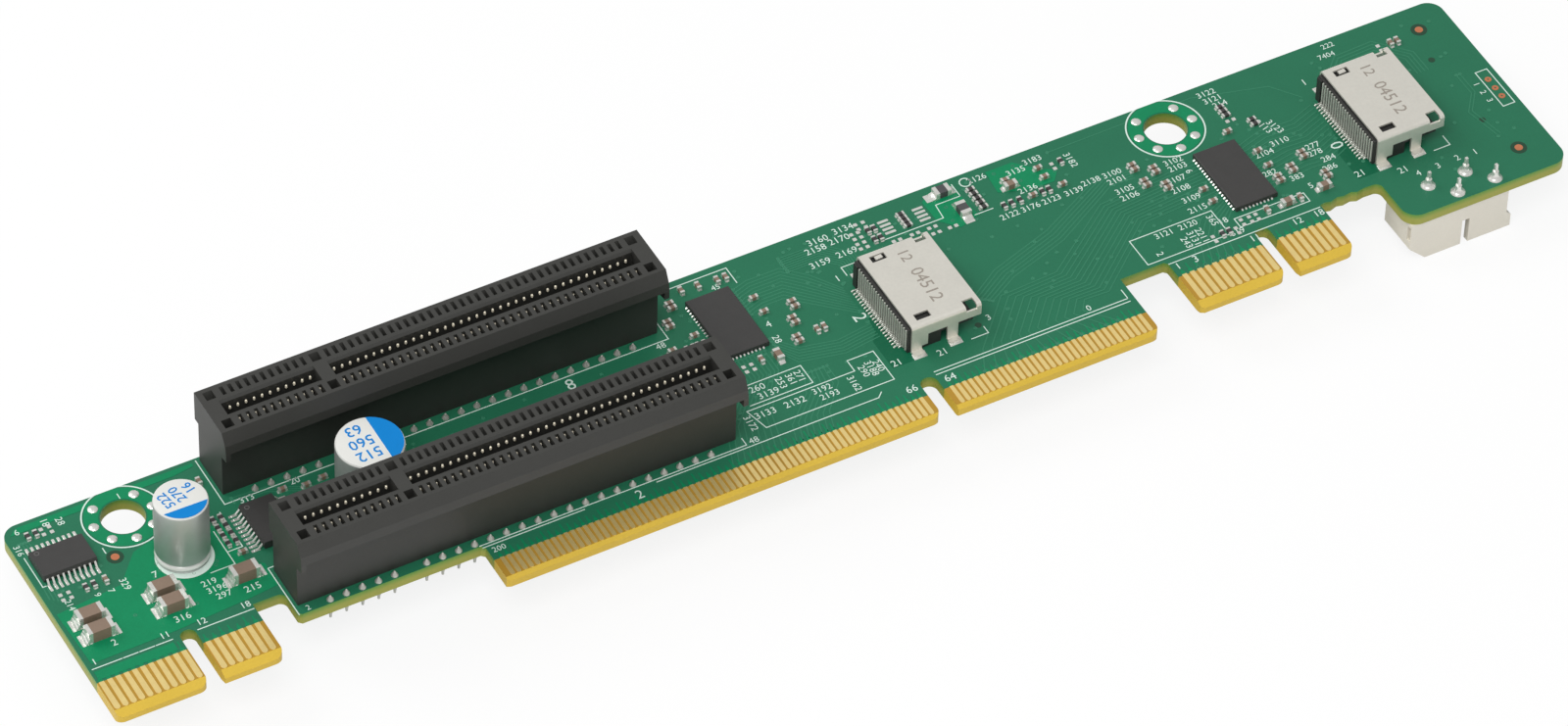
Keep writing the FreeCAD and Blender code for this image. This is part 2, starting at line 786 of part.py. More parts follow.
def port_shell(label, x, y):
    """A folded metal shield: top and two skirts, flared legs, spring windows."""
    body = new_body(label)
    inner_high, inner_wide = "port_height - port_sheet", "port_width - port_sheet"
    channel = [
        ("0", "port_skirt"), ("0", "port_height"), ("port_width", "port_height"), ("port_width", "port_skirt"),
        (inner_wide, "port_skirt"), (inner_wide, inner_high), ("port_sheet", inner_high),
        ("port_sheet", "port_skirt"),
    ]
    pad(body, draw(body, "YZ", [channel]), "port_length")
    round_edges(body, "port_bend", lambda edge: is_fold(edge, size.port_height, 0.0))
    round_edges(body, "port_bend - port_sheet", lambda edge: is_fold(edge, size.port_height, size.port_sheet))
    legs = draw(body, "YZ", [leg_loop(False), leg_loop(True)])
    first = pad(body, legs, "port_leg_width")
    repeat(body, first, "2", "port_leg_jump")
    tabs = [tab_loop("0", "port_sheet"), tab_loop(inner_wide, "port_width")]
    body.Tip = pad(body, draw(body, "YZ", tabs, offset="port_tab_start"), "port_tab_width")
    shell_windows(body)
    return place(body, x, y, "board_thickness")


def is_fold(edge, height, inset):
    """True for the long edges where the top folds into the skirts."""
    centre = edge.CenterOfMass
    across = min(centre.y - inset, size.port_width - inset - centre.y)
    at_corner = abs(across) < TOUCHING and abs(centre.z - height + inset) < TOUCHING
    return at_corner and edge.Length > size.port_length * 0.9


def leg_loop(far_side):
    """A leg that comes down from the skirt and flares out onto the board."""
    corners = [
        ("0", "port_skirt"), ("0", "port_sheet"), ("-port_leg_flare", "port_sheet"), ("-port_leg_flare", "0"),
        ("port_sheet", "0"), ("port_sheet", "port_skirt"),
    ]
    if far_side:
        corners = [(f"port_width - ({y})", z) for y, z in corners]
    return corners


def tab_loop(low, high):
    return box_loop(low, "port_tab_foot", high, "port_skirt")


def shell_windows(body):
    """Windows in the top: two that free the latch springs and two over the folds."""
    spring = ("spring_window_start", "spring_window_start + spring_window_length")
    fold = ("fold_window_start", "fold_window_start + fold_window_length")
    strips = [
        (spring, "spring_window_inset", "spring_window_inset + spring_window_width"),
        (fold, "-port_clearance", "fold_window_width"),
    ]
    loops = []
    for (left, right), low, high in strips:
        loops.append(box_loop(left, low, right, high))
        loops.append(box_loop(left, f"port_width - ({high})", right, f"port_width - ({low})"))
    body.Tip = pocket(body, draw(body, "XY", loops, offset="port_height"), "port_bend + port_sheet")


def port_block(label, x, y):
    """The moulded insulator: a block at the tail end with a tongue to the mouth."""
    body = new_body(label)
    top = "port_height - port_bend"
    tongue_top = "port_tongue_height + port_tongue_thickness"
    section = [
        ("-port_block_overhang", "0"), ("port_block_length", "0"),
        ("port_block_length", "port_tongue_height"), ("port_tongue_length", "port_tongue_height"),
        ("port_tongue_length", tongue_top), ("port_block_length", tongue_top),
        ("port_block_length", top), ("-port_block_overhang", top),
    ]
    edge = "port_sheet + port_clearance"
    sketch = draw(body, "XZ", [section], offset=f"-({edge})")
    body.Tip = pad(body, sketch, f"port_width - 2 * ({edge})", reverse=True)
    return place(body, x, y, "board_thickness")


def port_contacts(label, x, y):
    """Contact tails that slope from the insulator down to the board, every second one longer."""
    first = (size.port_width - (size.port_contacts - 1) * size.port_contact_pitch) / 2
    end = -size.port_block_overhang
    solids = []
    for number in range(int(size.port_contacts)):
        reach = size.port_contact_long if number % 2 else size.port_contact_short
        low = first + number * size.port_contact_pitch - size.port_contact_width / 2
        outline = [Vector(end - reach, low, 0), Vector(end, low, 0), Vector(end, low, size.port_contact_rise)]
        solids.append(prism(outline, Vector(0, size.port_contact_width, 0)))
    return group(label, solids, x, y, size.board_thickness)


def cable_ports():
    pieces = []
    for side in ("left", "right"):
        x, y = f"{side}_port_x", f"{side}_port_y"
        pieces.append(port_shell(f"{side}_port_shell", x, y))
        pieces.append(port_block(f"{side}_port_insulator", x, y))
        pieces.append(port_contacts(f"{side}_port_contacts", getattr(size, x), getattr(size, y)))
    return pieces


# ---------------------------------------------------------------- power header

def header_pin_places():
    """Four pins in two rows, every second one in the front row."""
    places = []
    for number in range(4):
        row = "header_front_row" if number % 2 else "header_back_row"
        places.append((f"header_first_x + {number} * header_pitch", row))
    return places


def header_pin_loops(half, shift_x, shift_y):
    """A square round each pin, in a frame that is shifted from the card's."""
    loops = []
    for place_x, place_y in header_pin_places():
        x, y = f"{place_x} + {shift_x}", f"{place_y} + {shift_y}"
        loops.append(box_loop(f"{x} - ({half})", f"{y} - ({half})", f"{x} + {half}", f"{y} + {half}"))
    return loops


def header_housing():
    """A shroud that hangs under the board, open downwards, with a latch slot in front."""
    body = new_body("power_header_housing")
    front = [
        ("0", "0"), ("0", "header_chamfer - header_height"), ("header_chamfer", "-header_height"),
        ("header_length + header_rib", "-header_height"),
        ("header_length + header_rib", "header_rib_height - header_height"),
        ("header_length", "header_rib_height - header_height + header_rib"), ("header_length", "0"),
    ]
    pad(body, draw(body, "XZ", [front]), "header_depth", reverse=True)
    mouth = box_loop("header_wall", "header_wall", "header_length - header_wall", "header_depth - header_wall")
    hollow = "header_height - header_floor"
    pocket(body, draw(body, "XY", [mouth], offset="-header_height"), hollow, reverse=True)
    slot_right = "header_slot_left + header_slot_width"
    slot = box_loop("header_slot_left", "-header_height - header_wall", slot_right, "-header_slot_top")
    pocket(body, draw(body, "XZ", [slot]), "header_wall")
    groove_end = "header_groove_inset + header_groove_width"
    groove_low = "-header_groove_top - header_groove_height"
    groove = box_loop("header_groove_inset", groove_low, groove_end, "-header_groove_top")
    pocket(body, draw(body, "YZ", [groove]), "header_groove_depth", reverse=True)
    seats = header_pin_loops("header_pin / 2", "-header_left", "header_front")
    body.Tip = pocket(body, draw(body, "XY", seats), "header_floor")
    return place(body, "header_left", "-header_front", "0")


def header_pins():
    """Square pins from inside the shroud, through its floor and the board."""
    solids = []
    top = size.board_thickness + size.header_pin_above
    half = size.header_pin / 2
    for number in range(4):
        x = size.header_first_x + number * size.header_pitch
        y = size.header_front_row if number % 2 else size.header_back_row
        solids.append(block(x - half, y - half, -size.header_pin_below, x + half, y + half, top))
    return group("power_header_pins", solids)


# ---------------------------------------------------------------- chip components

# How far each chip's middle lies from the middle of its neighbour, or from a cable port's
# front left corner, and whether its length runs along x or y.
BULK_CAPACITORS = {
    "left_driver": [
        (-1.1, -9.35, "x"), (-1.1, -11.85, "x"), (7.9, -9.35, "x"), (7.9, -11.85, "x"),
    ],
    "centre_driver": [
        (-5.85, -5.9, "x"),
    ],
}
SMALL_CAPACITORS = {
    "left_driver": [
        (2.95, -4.85, "y"),
    ],
    "centre_driver": [
        (-4.45, -2.6, "x"), (-4.15, 9.3, "y"), (3.65, 3.9, "x"), (6.35, 3.3, "x"), (8.55, 3.5, "x"),
    ],
    "left_switch": [
        (-7.6, -0.85, "x"), (-6.0, 3.45, "x"), (-6.0, 2.65, "x"), (-4.4, 5.95, "x"), (-4.4, 5.15, "x"),
        (-4.2, 0.15, "x"), (-2.2, 7.15, "y"), (-0.1, 6.95, "y"), (2.3, 6.75, "y"), (3.4, 6.75, "y"),
        (0.8, -6.75, "y"), (4.7, 2.35, "x"), (4.7, -0.15, "x"), (8.3, -0.15, "x"), (8.3, -1.05, "x"),
        (7.1, -2.45, "x"), (7.1, -3.35, "x"), (6.1, -5.35, "x"), (6.1, -6.15, "x"), (8.8, -5.45, "y"),
        (9.7, -5.45, "y"),
    ],
    "left_port": [
        (23.3, 19.35, "x"), (27.7, 19.35, "x"), (27.7, 17.75, "x"), (25.0, 15.75, "x"), (29.0, 15.75, "x"),
    ],
    "right_switch": [
        (-9.9, 7.1, "x"), (-9.9, 6.3, "x"), (-7.9, 5.6, "x"), (-7.9, 4.8, "x"), (-9.9, 4.2, "x"),
        (-9.9, 3.4, "x"), (-7.9, 2.7, "x"), (-7.9, 1.9, "x"), (-4.4, -0.2, "x"), (-4.4, -2.4, "x"),
        (3.0, 6.8, "x"), (4.5, 2.4, "x"), (4.4, -0.2, "x"), (4.4, -2.3, "x"), (4.4, -3.1, "x"),
        (6.6, -1.5, "x"), (6.6, -2.3, "x"), (8.9, -0.1, "x"), (8.9, -0.9, "x"), (9.7, -4.2, "x"),
        (9.7, -5.0, "x"), (0.5, -6.5, "y"), (5.0, -6.5, "y"),
    ],
    "right_port": [
        (12.1, 16.6, "y"), (13.0, 16.6, "y"),
    ],
}
SMALL_RESISTORS = {
    "left_driver": [
        (-1.95, 5.05, "y"), (-0.95, 5.05, "y"), (0.55, -4.85, "y"), (1.55, -4.85, "y"),
    ],
    "centre_driver": [
        (-5.35, 3.2, "y"), (-5.35, 1.9, "y"), (-5.35, 0.6, "y"), (-5.35, -0.7, "y"), (-4.35, 3.2, "y"),
        (-4.35, 1.9, "y"), (-4.35, 0.6, "y"), (-4.35, -0.7, "y"),
    ],
    "left_port": [
        (5.1, 19.45, "y"), (5.9, 19.45, "y"), (5.1, 17.85, "y"), (5.9, 17.85, "y"), (9.7, 20.1, "x"),
        (9.7, 19.45, "x"), (9.7, 18.8, "x"), (9.7, 18.15, "x"), (19.0, 19.95, "x"), (19.0, 19.15, "x"),
        (19.0, 18.35, "x"), (19.0, 17.55, "x"), (19.0, 16.75, "x"), (21.2, 15.75, "y"), (22.2, 15.75, "y"),
        (23.3, 15.75, "y"), (26.3, 15.75, "y"), (27.2, 15.75, "y"), (30.7, 19.15, "y"),
    ],
    "right_switch": [
        (4.3, 10.8, "x"), (4.3, 10.05, "x"), (4.3, 9.3, "x"), (6.6, 7.3, "x"), (6.6, 6.5, "x"),
        (-6.1, -7.5, "y"), (-5.2, -7.5, "y"),
    ],
}
MEDIUM_CAPACITORS = {
    "left_switch": [
        (2.8, -7.15, "y"),
    ],
    "left_port": [
        (23.4, 18.25, "x"),
    ],
    "right_switch": [
        (3.2, -6.6, "x"), (8.4, -6.3, "x"),
    ],
}
FERRITE_BEADS = {
    "left_port": [
        (15.7, 20.95, "x"), (16.5, 17.25, "y"),
    ],
}


def chip_places(table):
    """Every chip of a table as its place on the card and the way it lies."""
    places = []
    for neighbour, offsets in table.items():
        x, y = getattr(size, f"{neighbour}_x"), getattr(size, f"{neighbour}_y")
        places += [(x + right, y + back, along) for right, back, along in offsets]
    return places


def bulk_capacitors():
    """Large ceramic capacitors, each a body between two metal ends."""
    bodies, ends = [], []
    reach, half, tall = size.bulk_length / 2, size.bulk_width / 2, size.bulk_width
    inner = reach - size.bulk_end
    for x, y, _ in chip_places(BULK_CAPACITORS):
        bodies.append(block(x - inner, y - half, 0, x + inner, y + half, tall))
        for side in (-1, 1):
            near, far = sorted((x + side * inner, x + side * reach))
            ends.append(block(near, y - half, 0, far, y + half, tall))
    height = size.board_thickness
    return [group("bulk_capacitor_bodies", bodies, z=height), group("bulk_capacitor_ends", ends, z=height)]


def chips(label, table, length, width, height):
    """Chip components of one size, flat on the board."""
    solids = []
    for x, y, along in chip_places(table):
        across, deep = (length, width) if along == "x" else (width, length)
        solids.append(block(x - across / 2, y - deep / 2, 0, x + across / 2, y + deep / 2, height))
    return group(label, solids, z=size.board_thickness)


def chip_components():
    small = (size.chip_length, size.chip_width)
    medium = (size.medium_length, size.medium_width, size.medium_height)
    bead = (size.bead_length, size.bead_width, size.bead_height)
    return [
        chips("small_chip_capacitors", SMALL_CAPACITORS, *small, size.capacitor_height),
        chips("small_chip_resistors", SMALL_RESISTORS, *small, size.resistor_height),
        chips("medium_chip_capacitors", MEDIUM_CAPACITORS, *medium),
        chips("ferrite_beads", FERRITE_BEADS, *bead),
    ]


# ---------------------------------------------------------------- the whole card

def check(pieces):
    """Stop unless every object computed and every piece is a sound shape."""
    document.recompute()
    for thing in document.Objects:
        if "Invalid" in thing.State or "Error" in thing.State:
            raise RuntimeError(f"{thing.Name} failed: {thing.State}")
    for piece in pieces:
        if piece.Shape.isNull() or not piece.Shape.isValid():
            raise RuntimeError(f"{piece.Label} has no sound shape")


pieces = [circuit_board()]
pieces += edge_fingers()
pieces += card_slots()
pieces += can_capacitors()
pieces += driver_chips()
pieces += switch_chips()
pieces += cable_ports()
pieces += [header_housing(), header_pins()]
pieces += bulk_capacitors()
pieces += chip_components()
check(pieces)
os.makedirs("parts", exist_ok=True)
for piece in pieces:
    piece.Shape.exportStep(f"parts/{piece.Label}.step")
    print(piece.Label, len(piece.Shape.Solids), round(piece.Shape.Volume, 3))
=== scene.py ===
import json
import math
import random

import bmesh
import bpy
from mathutils import Matrix, Vector


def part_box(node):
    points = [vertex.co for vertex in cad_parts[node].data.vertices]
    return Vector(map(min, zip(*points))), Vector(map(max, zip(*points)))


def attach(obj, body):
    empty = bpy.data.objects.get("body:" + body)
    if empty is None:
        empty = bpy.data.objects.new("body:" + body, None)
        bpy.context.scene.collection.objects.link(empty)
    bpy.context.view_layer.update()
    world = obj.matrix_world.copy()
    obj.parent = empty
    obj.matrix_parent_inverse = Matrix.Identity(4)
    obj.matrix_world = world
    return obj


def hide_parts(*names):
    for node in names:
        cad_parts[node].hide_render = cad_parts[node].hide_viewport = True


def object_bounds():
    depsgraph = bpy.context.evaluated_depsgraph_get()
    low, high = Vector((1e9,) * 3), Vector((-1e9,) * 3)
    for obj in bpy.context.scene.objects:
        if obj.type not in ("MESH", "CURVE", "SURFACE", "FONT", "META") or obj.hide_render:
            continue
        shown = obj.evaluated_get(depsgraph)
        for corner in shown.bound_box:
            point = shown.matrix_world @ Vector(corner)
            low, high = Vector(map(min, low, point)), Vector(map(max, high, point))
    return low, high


# Lengths are in millimetres in the card's own frame, and each mesh is brought
# to metres when it is finished.

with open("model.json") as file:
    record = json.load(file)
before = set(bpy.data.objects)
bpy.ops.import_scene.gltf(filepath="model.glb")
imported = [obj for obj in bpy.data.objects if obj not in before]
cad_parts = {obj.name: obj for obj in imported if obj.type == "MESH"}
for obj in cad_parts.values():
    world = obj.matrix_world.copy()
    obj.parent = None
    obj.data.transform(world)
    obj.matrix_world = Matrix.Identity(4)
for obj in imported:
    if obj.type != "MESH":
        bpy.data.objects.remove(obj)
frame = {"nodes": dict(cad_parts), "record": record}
nodes = frame["nodes"]
cad_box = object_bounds()
MM = 0.001
board_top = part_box("circuit_board")[1][2] / MM
board_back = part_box("circuit_board")[1][1] / MM

# ------------------------------------------------------------------ camera
# A long lens, from the card's front left and well above it, aimed at the
# middle of the board's upper face, with a slight tilt of the horizon.

camera_azimuth = math.radians(-30.0)
camera_elevation = math.radians(46.09)
camera_roll = math.radians(1.95)
camera_distance = 969.26 * MM
camera_aim = Vector((77.25, -12.96, board_top)) * MM

camera_data = bpy.data.cameras.new("camera")
camera_data.lens = 194.866
camera_data.sensor_width = 36.0
camera_data.clip_end = 10.0
camera = bpy.data.objects.new("camera", camera_data)
bpy.context.collection.objects.link(camera)
turn = Matrix.Rotation(camera_azimuth, 4, "Z") @ Matrix.Rotation(math.pi / 2 - camera_elevation, 4, "X")
camera.matrix_world = (
    Matrix.Translation(camera_aim)
    @ turn
    @ Matrix.Rotation(camera_roll, 4, "Z")
    @ Matrix.Translation((0, 0, camera_distance))
)
scene = bpy.context.scene
scene.camera = camera
scene.view_settings.view_transform = "Standard"

# ------------------------------------------------------------------ studio
# A white sweep under the card, which stands on its power header, with two
# large soft lamps above and an even white surround.


def paint(red, green, blue):
    """A colour as it looks on a screen, 0 to 255 a channel, for a shader socket."""
    channels = (red / 255, green / 255, blue / 255)
    return tuple(c / 12.92 if c <= 0.04045 else ((c + 0.055) / 1.055) ** 2.4 for c in channels) + (1.0,)


def add_node(tree, kind, inputs, **settings):
    """Add a shader node, set its options and feed its inputs, and give its first output."""
    node = tree.nodes.new(kind)
    for name, value in settings.items():
        setattr(node, name, value)
    for name, value in inputs.items():
        if isinstance(value, bpy.types.NodeSocket):
            tree.links.new(value, node.inputs[name])
        else:
            node.inputs[name].default_value = value
    return node.outputs[0]


def maths(tree, operation, *values):
    """A Math node on the given numbers and sockets."""
    return add_node(tree, "ShaderNodeMath", dict(enumerate(values)), operation=operation)


def new_material(name, **values):
    """A material with its Principled shader's plain values set."""
    material = bpy.data.materials.new(name)
    material.use_nodes = True
    shader = material.node_tree.nodes["Principled BSDF"]
    for socket, value in values.items():
        shader.inputs[socket.replace("_", " ").title().replace("Ior", "IOR")].default_value = value
    return material, material.node_tree, shader


def as_object(name, shape, material):
    """Turn a bmesh into an object with one material."""
    mesh = bpy.data.meshes.new(name)
    shape.to_mesh(mesh)
    shape.free()
    mesh.materials.append(material)
    thing = bpy.data.objects.new(name, mesh)
    bpy.context.collection.objects.link(thing)
    return thing


# The camera sees the floor mostly as plain white, and the rest of it takes the card's shadow.
floor_whiteness = 0.86
floor_width = 4.0
surround_strength = 0.52
floor_material, floor_tree, floor_shader = new_material(
    "white_sweep", base_color=paint(246, 246, 246), roughness=0.9, specular_ior_level=0.1)
glow = add_node(floor_tree, "ShaderNodeEmission", {})
ray = floor_tree.nodes.new("ShaderNodeLightPath").outputs["Is Camera Ray"]
share = maths(floor_tree, "MULTIPLY", ray, floor_whiteness)
mixed = add_node(floor_tree, "ShaderNodeMixShader", {0: share, 1: floor_shader.outputs[0], 2: glow})
floor_tree.links.new(mixed, floor_tree.nodes["Material Output"].inputs[0])
floor_shape = bmesh.new()
bmesh.ops.create_grid(floor_shape, x_segments=1, y_segments=1, size=floor_width / 2)
bmesh.ops.translate(floor_shape, verts=floor_shape.verts, vec=(0, 0, cad_box[0][2]))
as_object("sweep", floor_shape, floor_material)


def soft_lamp(name, spot, aim, width, power):
    """A round area lamp at a spot, turned to face its aim."""
    data = bpy.data.lights.new(name, "AREA")
    data.shape = "DISK"
    data.size = width
    data.energy = power
    lamp = bpy.data.objects.new(name, data)
    bpy.context.collection.objects.link(lamp)
    facing = (Vector(aim) - Vector(spot)).to_track_quat("-Z", "Y")
    lamp.matrix_world = Matrix.Translation(spot) @ facing.to_matrix().to_4x4()


card_middle = (0.08, 0, 0)
soft_lamp("key_lamp", (-0.25, -0.35, 0.85), card_middle, 0.6, 4.6)
soft_lamp("back_lamp", (-0.45, 0.6, 0.8), card_middle, 0.7, 3.4)
world = bpy.data.worlds.new("surround")
scene.world = world
world.use_nodes = True
surround = world.node_tree.nodes["Background"].inputs
surround["Color"].default_value = (1, 1, 1, 1)
surround["Strength"].default_value = surround_strength

# ------------------------------------------------------------------ circuit board
# Glass-fibre laminate under green solder mask. The sawn edges show the bare
# fibre, and the mask stops short of the fingers on all three tabs.


def mottle_group():
    """A shared effect: a finish that is never quite even, and its fine relief."""
    group = bpy.data.node_groups.new("mottle", "ShaderNodeTree")
    sockets = group.interface.new_socket
    sockets("Colour", in_out="INPUT", socket_type="NodeSocketColor")
    for name in ("Patches", "Change", "Grain"):
        sockets(name, in_out="INPUT", socket_type="NodeSocketFloat")
    sockets("Colour", in_out="OUTPUT", socket_type="NodeSocketColor")
    sockets("Relief", in_out="OUTPUT", socket_type="NodeSocketFloat")
    given = group.nodes.new("NodeGroupInput").outputs
    place = group.nodes.new("ShaderNodeTexCoord").outputs["Object"]
    patches, grain = [
        add_node(group, "ShaderNodeTexNoise", {"Vector": place, "Scale": given[name], "Detail": detail})
        for name, detail in (("Patches", 4.0), ("Grain", 2.0))]
    centred = maths(group, "SUBTRACT", maths(group, "ADD", patches, grain), 1.0)
    shade = maths(group, "MULTIPLY_ADD", centred, given["Change"], 1.0)
    tinted = add_node(group, "ShaderNodeVectorMath", {0: given["Colour"], 1: shade}, operation="MULTIPLY")
    out = group.nodes.new("NodeGroupOutput")
    group.links.new(tinted, out.inputs["Colour"])
    group.links.new(grain, out.inputs["Relief"])
    return group


MOTTLE = mottle_group()


def mottled(name, colour, patches=300.0, change=0.12, grain=4000.0, relief=0.1, depth=0.02, **values):
    """A mottled finish with fine relief. Its colour is a value, or a function that makes a socket."""
    material, tree, shader = new_material(name, **values)
    effect = tree.nodes.new("ShaderNodeGroup")
    effect.node_tree = MOTTLE
    if callable(colour):
        tree.links.new(colour(tree), effect.inputs["Colour"])
    else:
        effect.inputs["Colour"].default_value = colour
    for socket, value in (("Patches", patches), ("Change", change), ("Grain", grain)):
        effect.inputs[socket].default_value = value
    bump = add_node(tree, "ShaderNodeBump",
                    {"Strength": relief, "Distance": depth * MM, "Height": effect.outputs["Relief"]})
    tree.links.new(effect.outputs["Colour"], shader.inputs["Base Color"])
    tree.links.new(bump, shader.inputs["Normal"])
    return material


def dress(node, material):
    """Give a CAD node its finish."""
    for entry in nodes[node].material_slots:
        entry.material = material


# Each tab: its left and right limits, where the mask stops, and where the fingers end.
bare_zones = [
    (-14.0, 8.5, -21.25, -25.7),
    (33.0, 119.0, -24.95, -27.8),
    (124.0, 145.4, -21.8, -26.1),
]
fibre_colour = paint(214, 180, 66)
# The laminate between the fingers gets a darker colour as painted shade. The strip at each tab's front keeps
# the plain fibre colour.
painted_shade_between_fingers = paint(176, 136, 50)
edge_low_colour = paint(158, 160, 76)
edge_high_colour = paint(92, 146, 62)
mask_colour = paint(38, 112, 82)
green_edge_from = 0.45
steepest_edge = 0.3


def blend(tree, share, first, second):
    """Mix two colours by a share of the second."""
    mix = add_node(tree, "ShaderNodeMix", {"Factor": share, 6: first, 7: second}, data_type="RGBA").node
    return mix.outputs[2]


def board_colour(tree):
    """Mask on the flat faces, bare laminate past each tab's mask line, raw fibre on the edges; between the
    fingers the laminate is darkened as painted shade.
    """
    x, y, z = tree.nodes.new("ShaderNodeSeparateXYZ").outputs
    tree.links.new(tree.nodes.new("ShaderNodeTexCoord").outputs["Object"], x.node.inputs[0])
    facing = tree.nodes.new("ShaderNodeSeparateXYZ")
    tree.links.new(tree.nodes.new("ShaderNodeNewGeometry").outputs["Normal"], facing.inputs[0])
    bare, strip_end = 0.0, 0.0
    for left, right, front, tip in bare_zones:
        after = maths(tree, "GREATER_THAN", x, left * MM)
        inside = maths(tree, "MULTIPLY", after, maths(tree, "LESS_THAN", x, right * MM))
        bare = maths(tree, "MULTIPLY_ADD", inside, maths(tree, "LESS_THAN", y, front * MM), bare)
        strip_end = maths(tree, "MULTIPLY_ADD", inside, maths(tree, "LESS_THAN", y, tip * MM), strip_end)
    on_edge = maths(tree, "LESS_THAN", maths(tree, "ABSOLUTE", facing.outputs[2]), steepest_edge)
    board_metres = board_top * MM
    rise = add_node(tree, "ShaderNodeMapRange", {0: z, 1: board_metres * green_edge_from, 2: board_metres})
    tab_edge = blend(tree, bare, blend(tree, rise, edge_low_colour, edge_high_colour), fibre_colour)
    tab_face = blend(tree, strip_end, painted_shade_between_fingers, fibre_colour)
    return blend(tree, on_edge, blend(tree, bare, mask_colour, tab_face), tab_edge)


dress("circuit_board", mottled("board_laminate", board_colour, patches=160.0, change=0.14, roughness=0.4,
                               specular_ior_level=0.25))

# ------------------------------------------------------------------ copper under the mask
# Ground areas and signal tracks etched in the copper foil. They stand a few
# hundredths of a millimetre proud, and the mask over them looks brighter.


def strip(shape, points, width, low, high):
    """A flat line through the points. Its runs overlap at each corner, so their heights differ by a hair."""
    overlap_step = 0.003
    corner_overlap = width * 0.8
    for start, end in zip(points, points[1:]):
        run = Vector(end) - Vector(start)
        middle = (Vector(start) + Vector(end)) / 2
        high += overlap_step
        overlap_step = -overlap_step
        place = (Matrix.Translation((*middle, (low + high) / 2))
                 @ Matrix.Rotation(math.atan2(run.y, run.x), 4, "Z")
                 @ Matrix.Diagonal((run.length + corner_overlap, width, high - low, 1.0)))
        bmesh.ops.create_cube(shape, size=1.0, matrix=place)


def turned(shape, profile, x=0.0, y=0.0, z=0.0, steps=12):
    """Turn a profile of radii and heights about an upright axis."""
    before = set(shape.verts)
    line = [shape.verts.new((x + radius, y, z + height)) for radius, height in profile]
    edges = [shape.edges.new(pair) for pair in zip(line, line[1:])]
    bmesh.ops.spin(shape, geom=line + edges, cent=(x, y, z), axis=(0, 0, 1), angle=2 * math.pi,
                   steps=steps, use_merge=True)
    made = [corner for corner in shape.verts if corner not in before]
    bmesh.ops.remove_doubles(shape, verts=made, dist=0.0005)


def ring(shape, x, y, inner, outer, low, high, steps=48):
    """A flat ring, such as a printed circle."""
    section = [(inner, low), (outer, low), (outer, high), (inner, high), (inner, low)]
    turned(shape, section, x, y, 0.0, steps)


def raise_faces(shape, faces, height):
    """Give flat faces a thickness."""
    lifted = bmesh.ops.extrude_face_region(shape, geom=faces)["geom"]
    corners = [part for part in lifted if isinstance(part, bmesh.types.BMVert)]
    bmesh.ops.translate(shape, verts=corners, vec=(0, 0, height))


def plate(shape, outline, low, high):
    """A flat plate with a straight-edged outline."""
    face = shape.faces.new([shape.verts.new((*corner, low)) for corner in outline])
    raise_faces(shape, [face], high - low)


def slice_off(shape, back):
    """Cut off what lies behind a line, and give the edges of the cut."""
    everything = shape.verts[:] + shape.edges[:] + shape.faces[:]
    cut = bmesh.ops.bisect_plane(shape, geom=everything, plane_co=(0, back, 0), plane_no=(0, 1, 0),
                                 clear_outer=True)["geom_cut"]
    return [part for part in cut if isinstance(part, bmesh.types.BMEdge)]


def ring_the_holes(shape, inner, outer, low, high, steps=48):
    """A ring round each mounting hole, cut off at the card's back edge."""
    edge_margin = 0.03
    for x, y in hole_places:
        ring(shape, x, y, inner, outer, low, high, steps)
    bmesh.ops.edgenet_fill(shape, edges=slice_off(shape, board_back - edge_margin))


def repeat_at(shape, places):
    """Copy all that the mesh holds to each place, and take the pattern away."""
    pattern = shape.verts[:] + shape.edges[:] + shape.faces[:]
    originals = shape.verts[:]
    for place in places:
        copied = bmesh.ops.duplicate(shape, geom=pattern)["geom"]
        corners = [part for part in copied if isinstance(part, bmesh.types.BMVert)]
        bmesh.ops.translate(shape, verts=corners, vec=place)
    bmesh.ops.delete(shape, geom=originals, context="VERTS")


def finish_piece(name, shape, material, crease=35.0, replaces=()):
    """Point the faces outwards, bring the mesh to metres and fix the piece to the card."""
    bmesh.ops.recalc_face_normals(shape, faces=shape.faces)
    for face in shape.faces:
        face.smooth = True
    for edge in shape.edges:
        edge.smooth = edge.calc_face_angle(math.pi) < math.radians(crease)
    bmesh.ops.scale(shape, verts=shape.verts, vec=(MM, MM, MM))
    piece = as_object(name, shape, material)
    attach(piece, "root")
    if replaces:
        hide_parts(*replaces)
    return piece


foil = 0.03
land_inner, land_outer = 2.75, 4.45
land_height = foil + 0.004
track_width = 0.13
under_track_width = 0.16
hole_places = [(mount["pos_m"][0] / MM, mount["pos_m"][1] / MM)
               for mount in frame["record"]["mounts"] if mount["kind"] == "bore"]
masked_copper = mottled("masked_copper", paint(8, 132, 86), patches=220.0, change=0.2, roughness=0.4,
                        specular_ior_level=0.25)
masked_tracks = mottled("masked_tracks", paint(54, 126, 96), change=0.1, roughness=0.4,
                        specular_ior_level=0.25)

pours = [
    # Left end: round the cans and down to the left tab, and a second area above the driver chip
    [(-4.6, -9.2), (-2.6, -6.9), (-1.3, -5.4), (1.0, -4.7), (9.3, -6.0), (9.3, -12.6), (11.0, -13.6),
     (10.9, -17.2), (7.2, -17.6), (-2.0, -18.2), (-12.6, -18.4), (-12.9, -10.0)],
    [(-11.5, 3.9), (-12.5, 3.0), (7.6, 3.0), (10.4, 3.4), (10.4, 3.9)],
    [(-12.9, -19.6), (-3.2, -19.6), (-3.2, -20.9), (-12.9, -20.9)],
    # Round the small parts on the back edge
    [(112.9, 3.4), (116.5, 3.4), (117.6, 2.2), (120.6, -0.2), (119.4, -1.6), (115.8, -1.4), (112.6, -0.2)],
    [(103.9, 2.4), (105.2, 3.4), (108.3, 3.6), (108.8, -2.4), (106.0, -3.2), (104.0, -1.0)],
]
shape = bmesh.new()
for outline in pours:
    plate(shape, outline, board_top, board_top + foil)
ring_the_holes(shape, land_inner, land_outer, board_top, board_top + land_height)
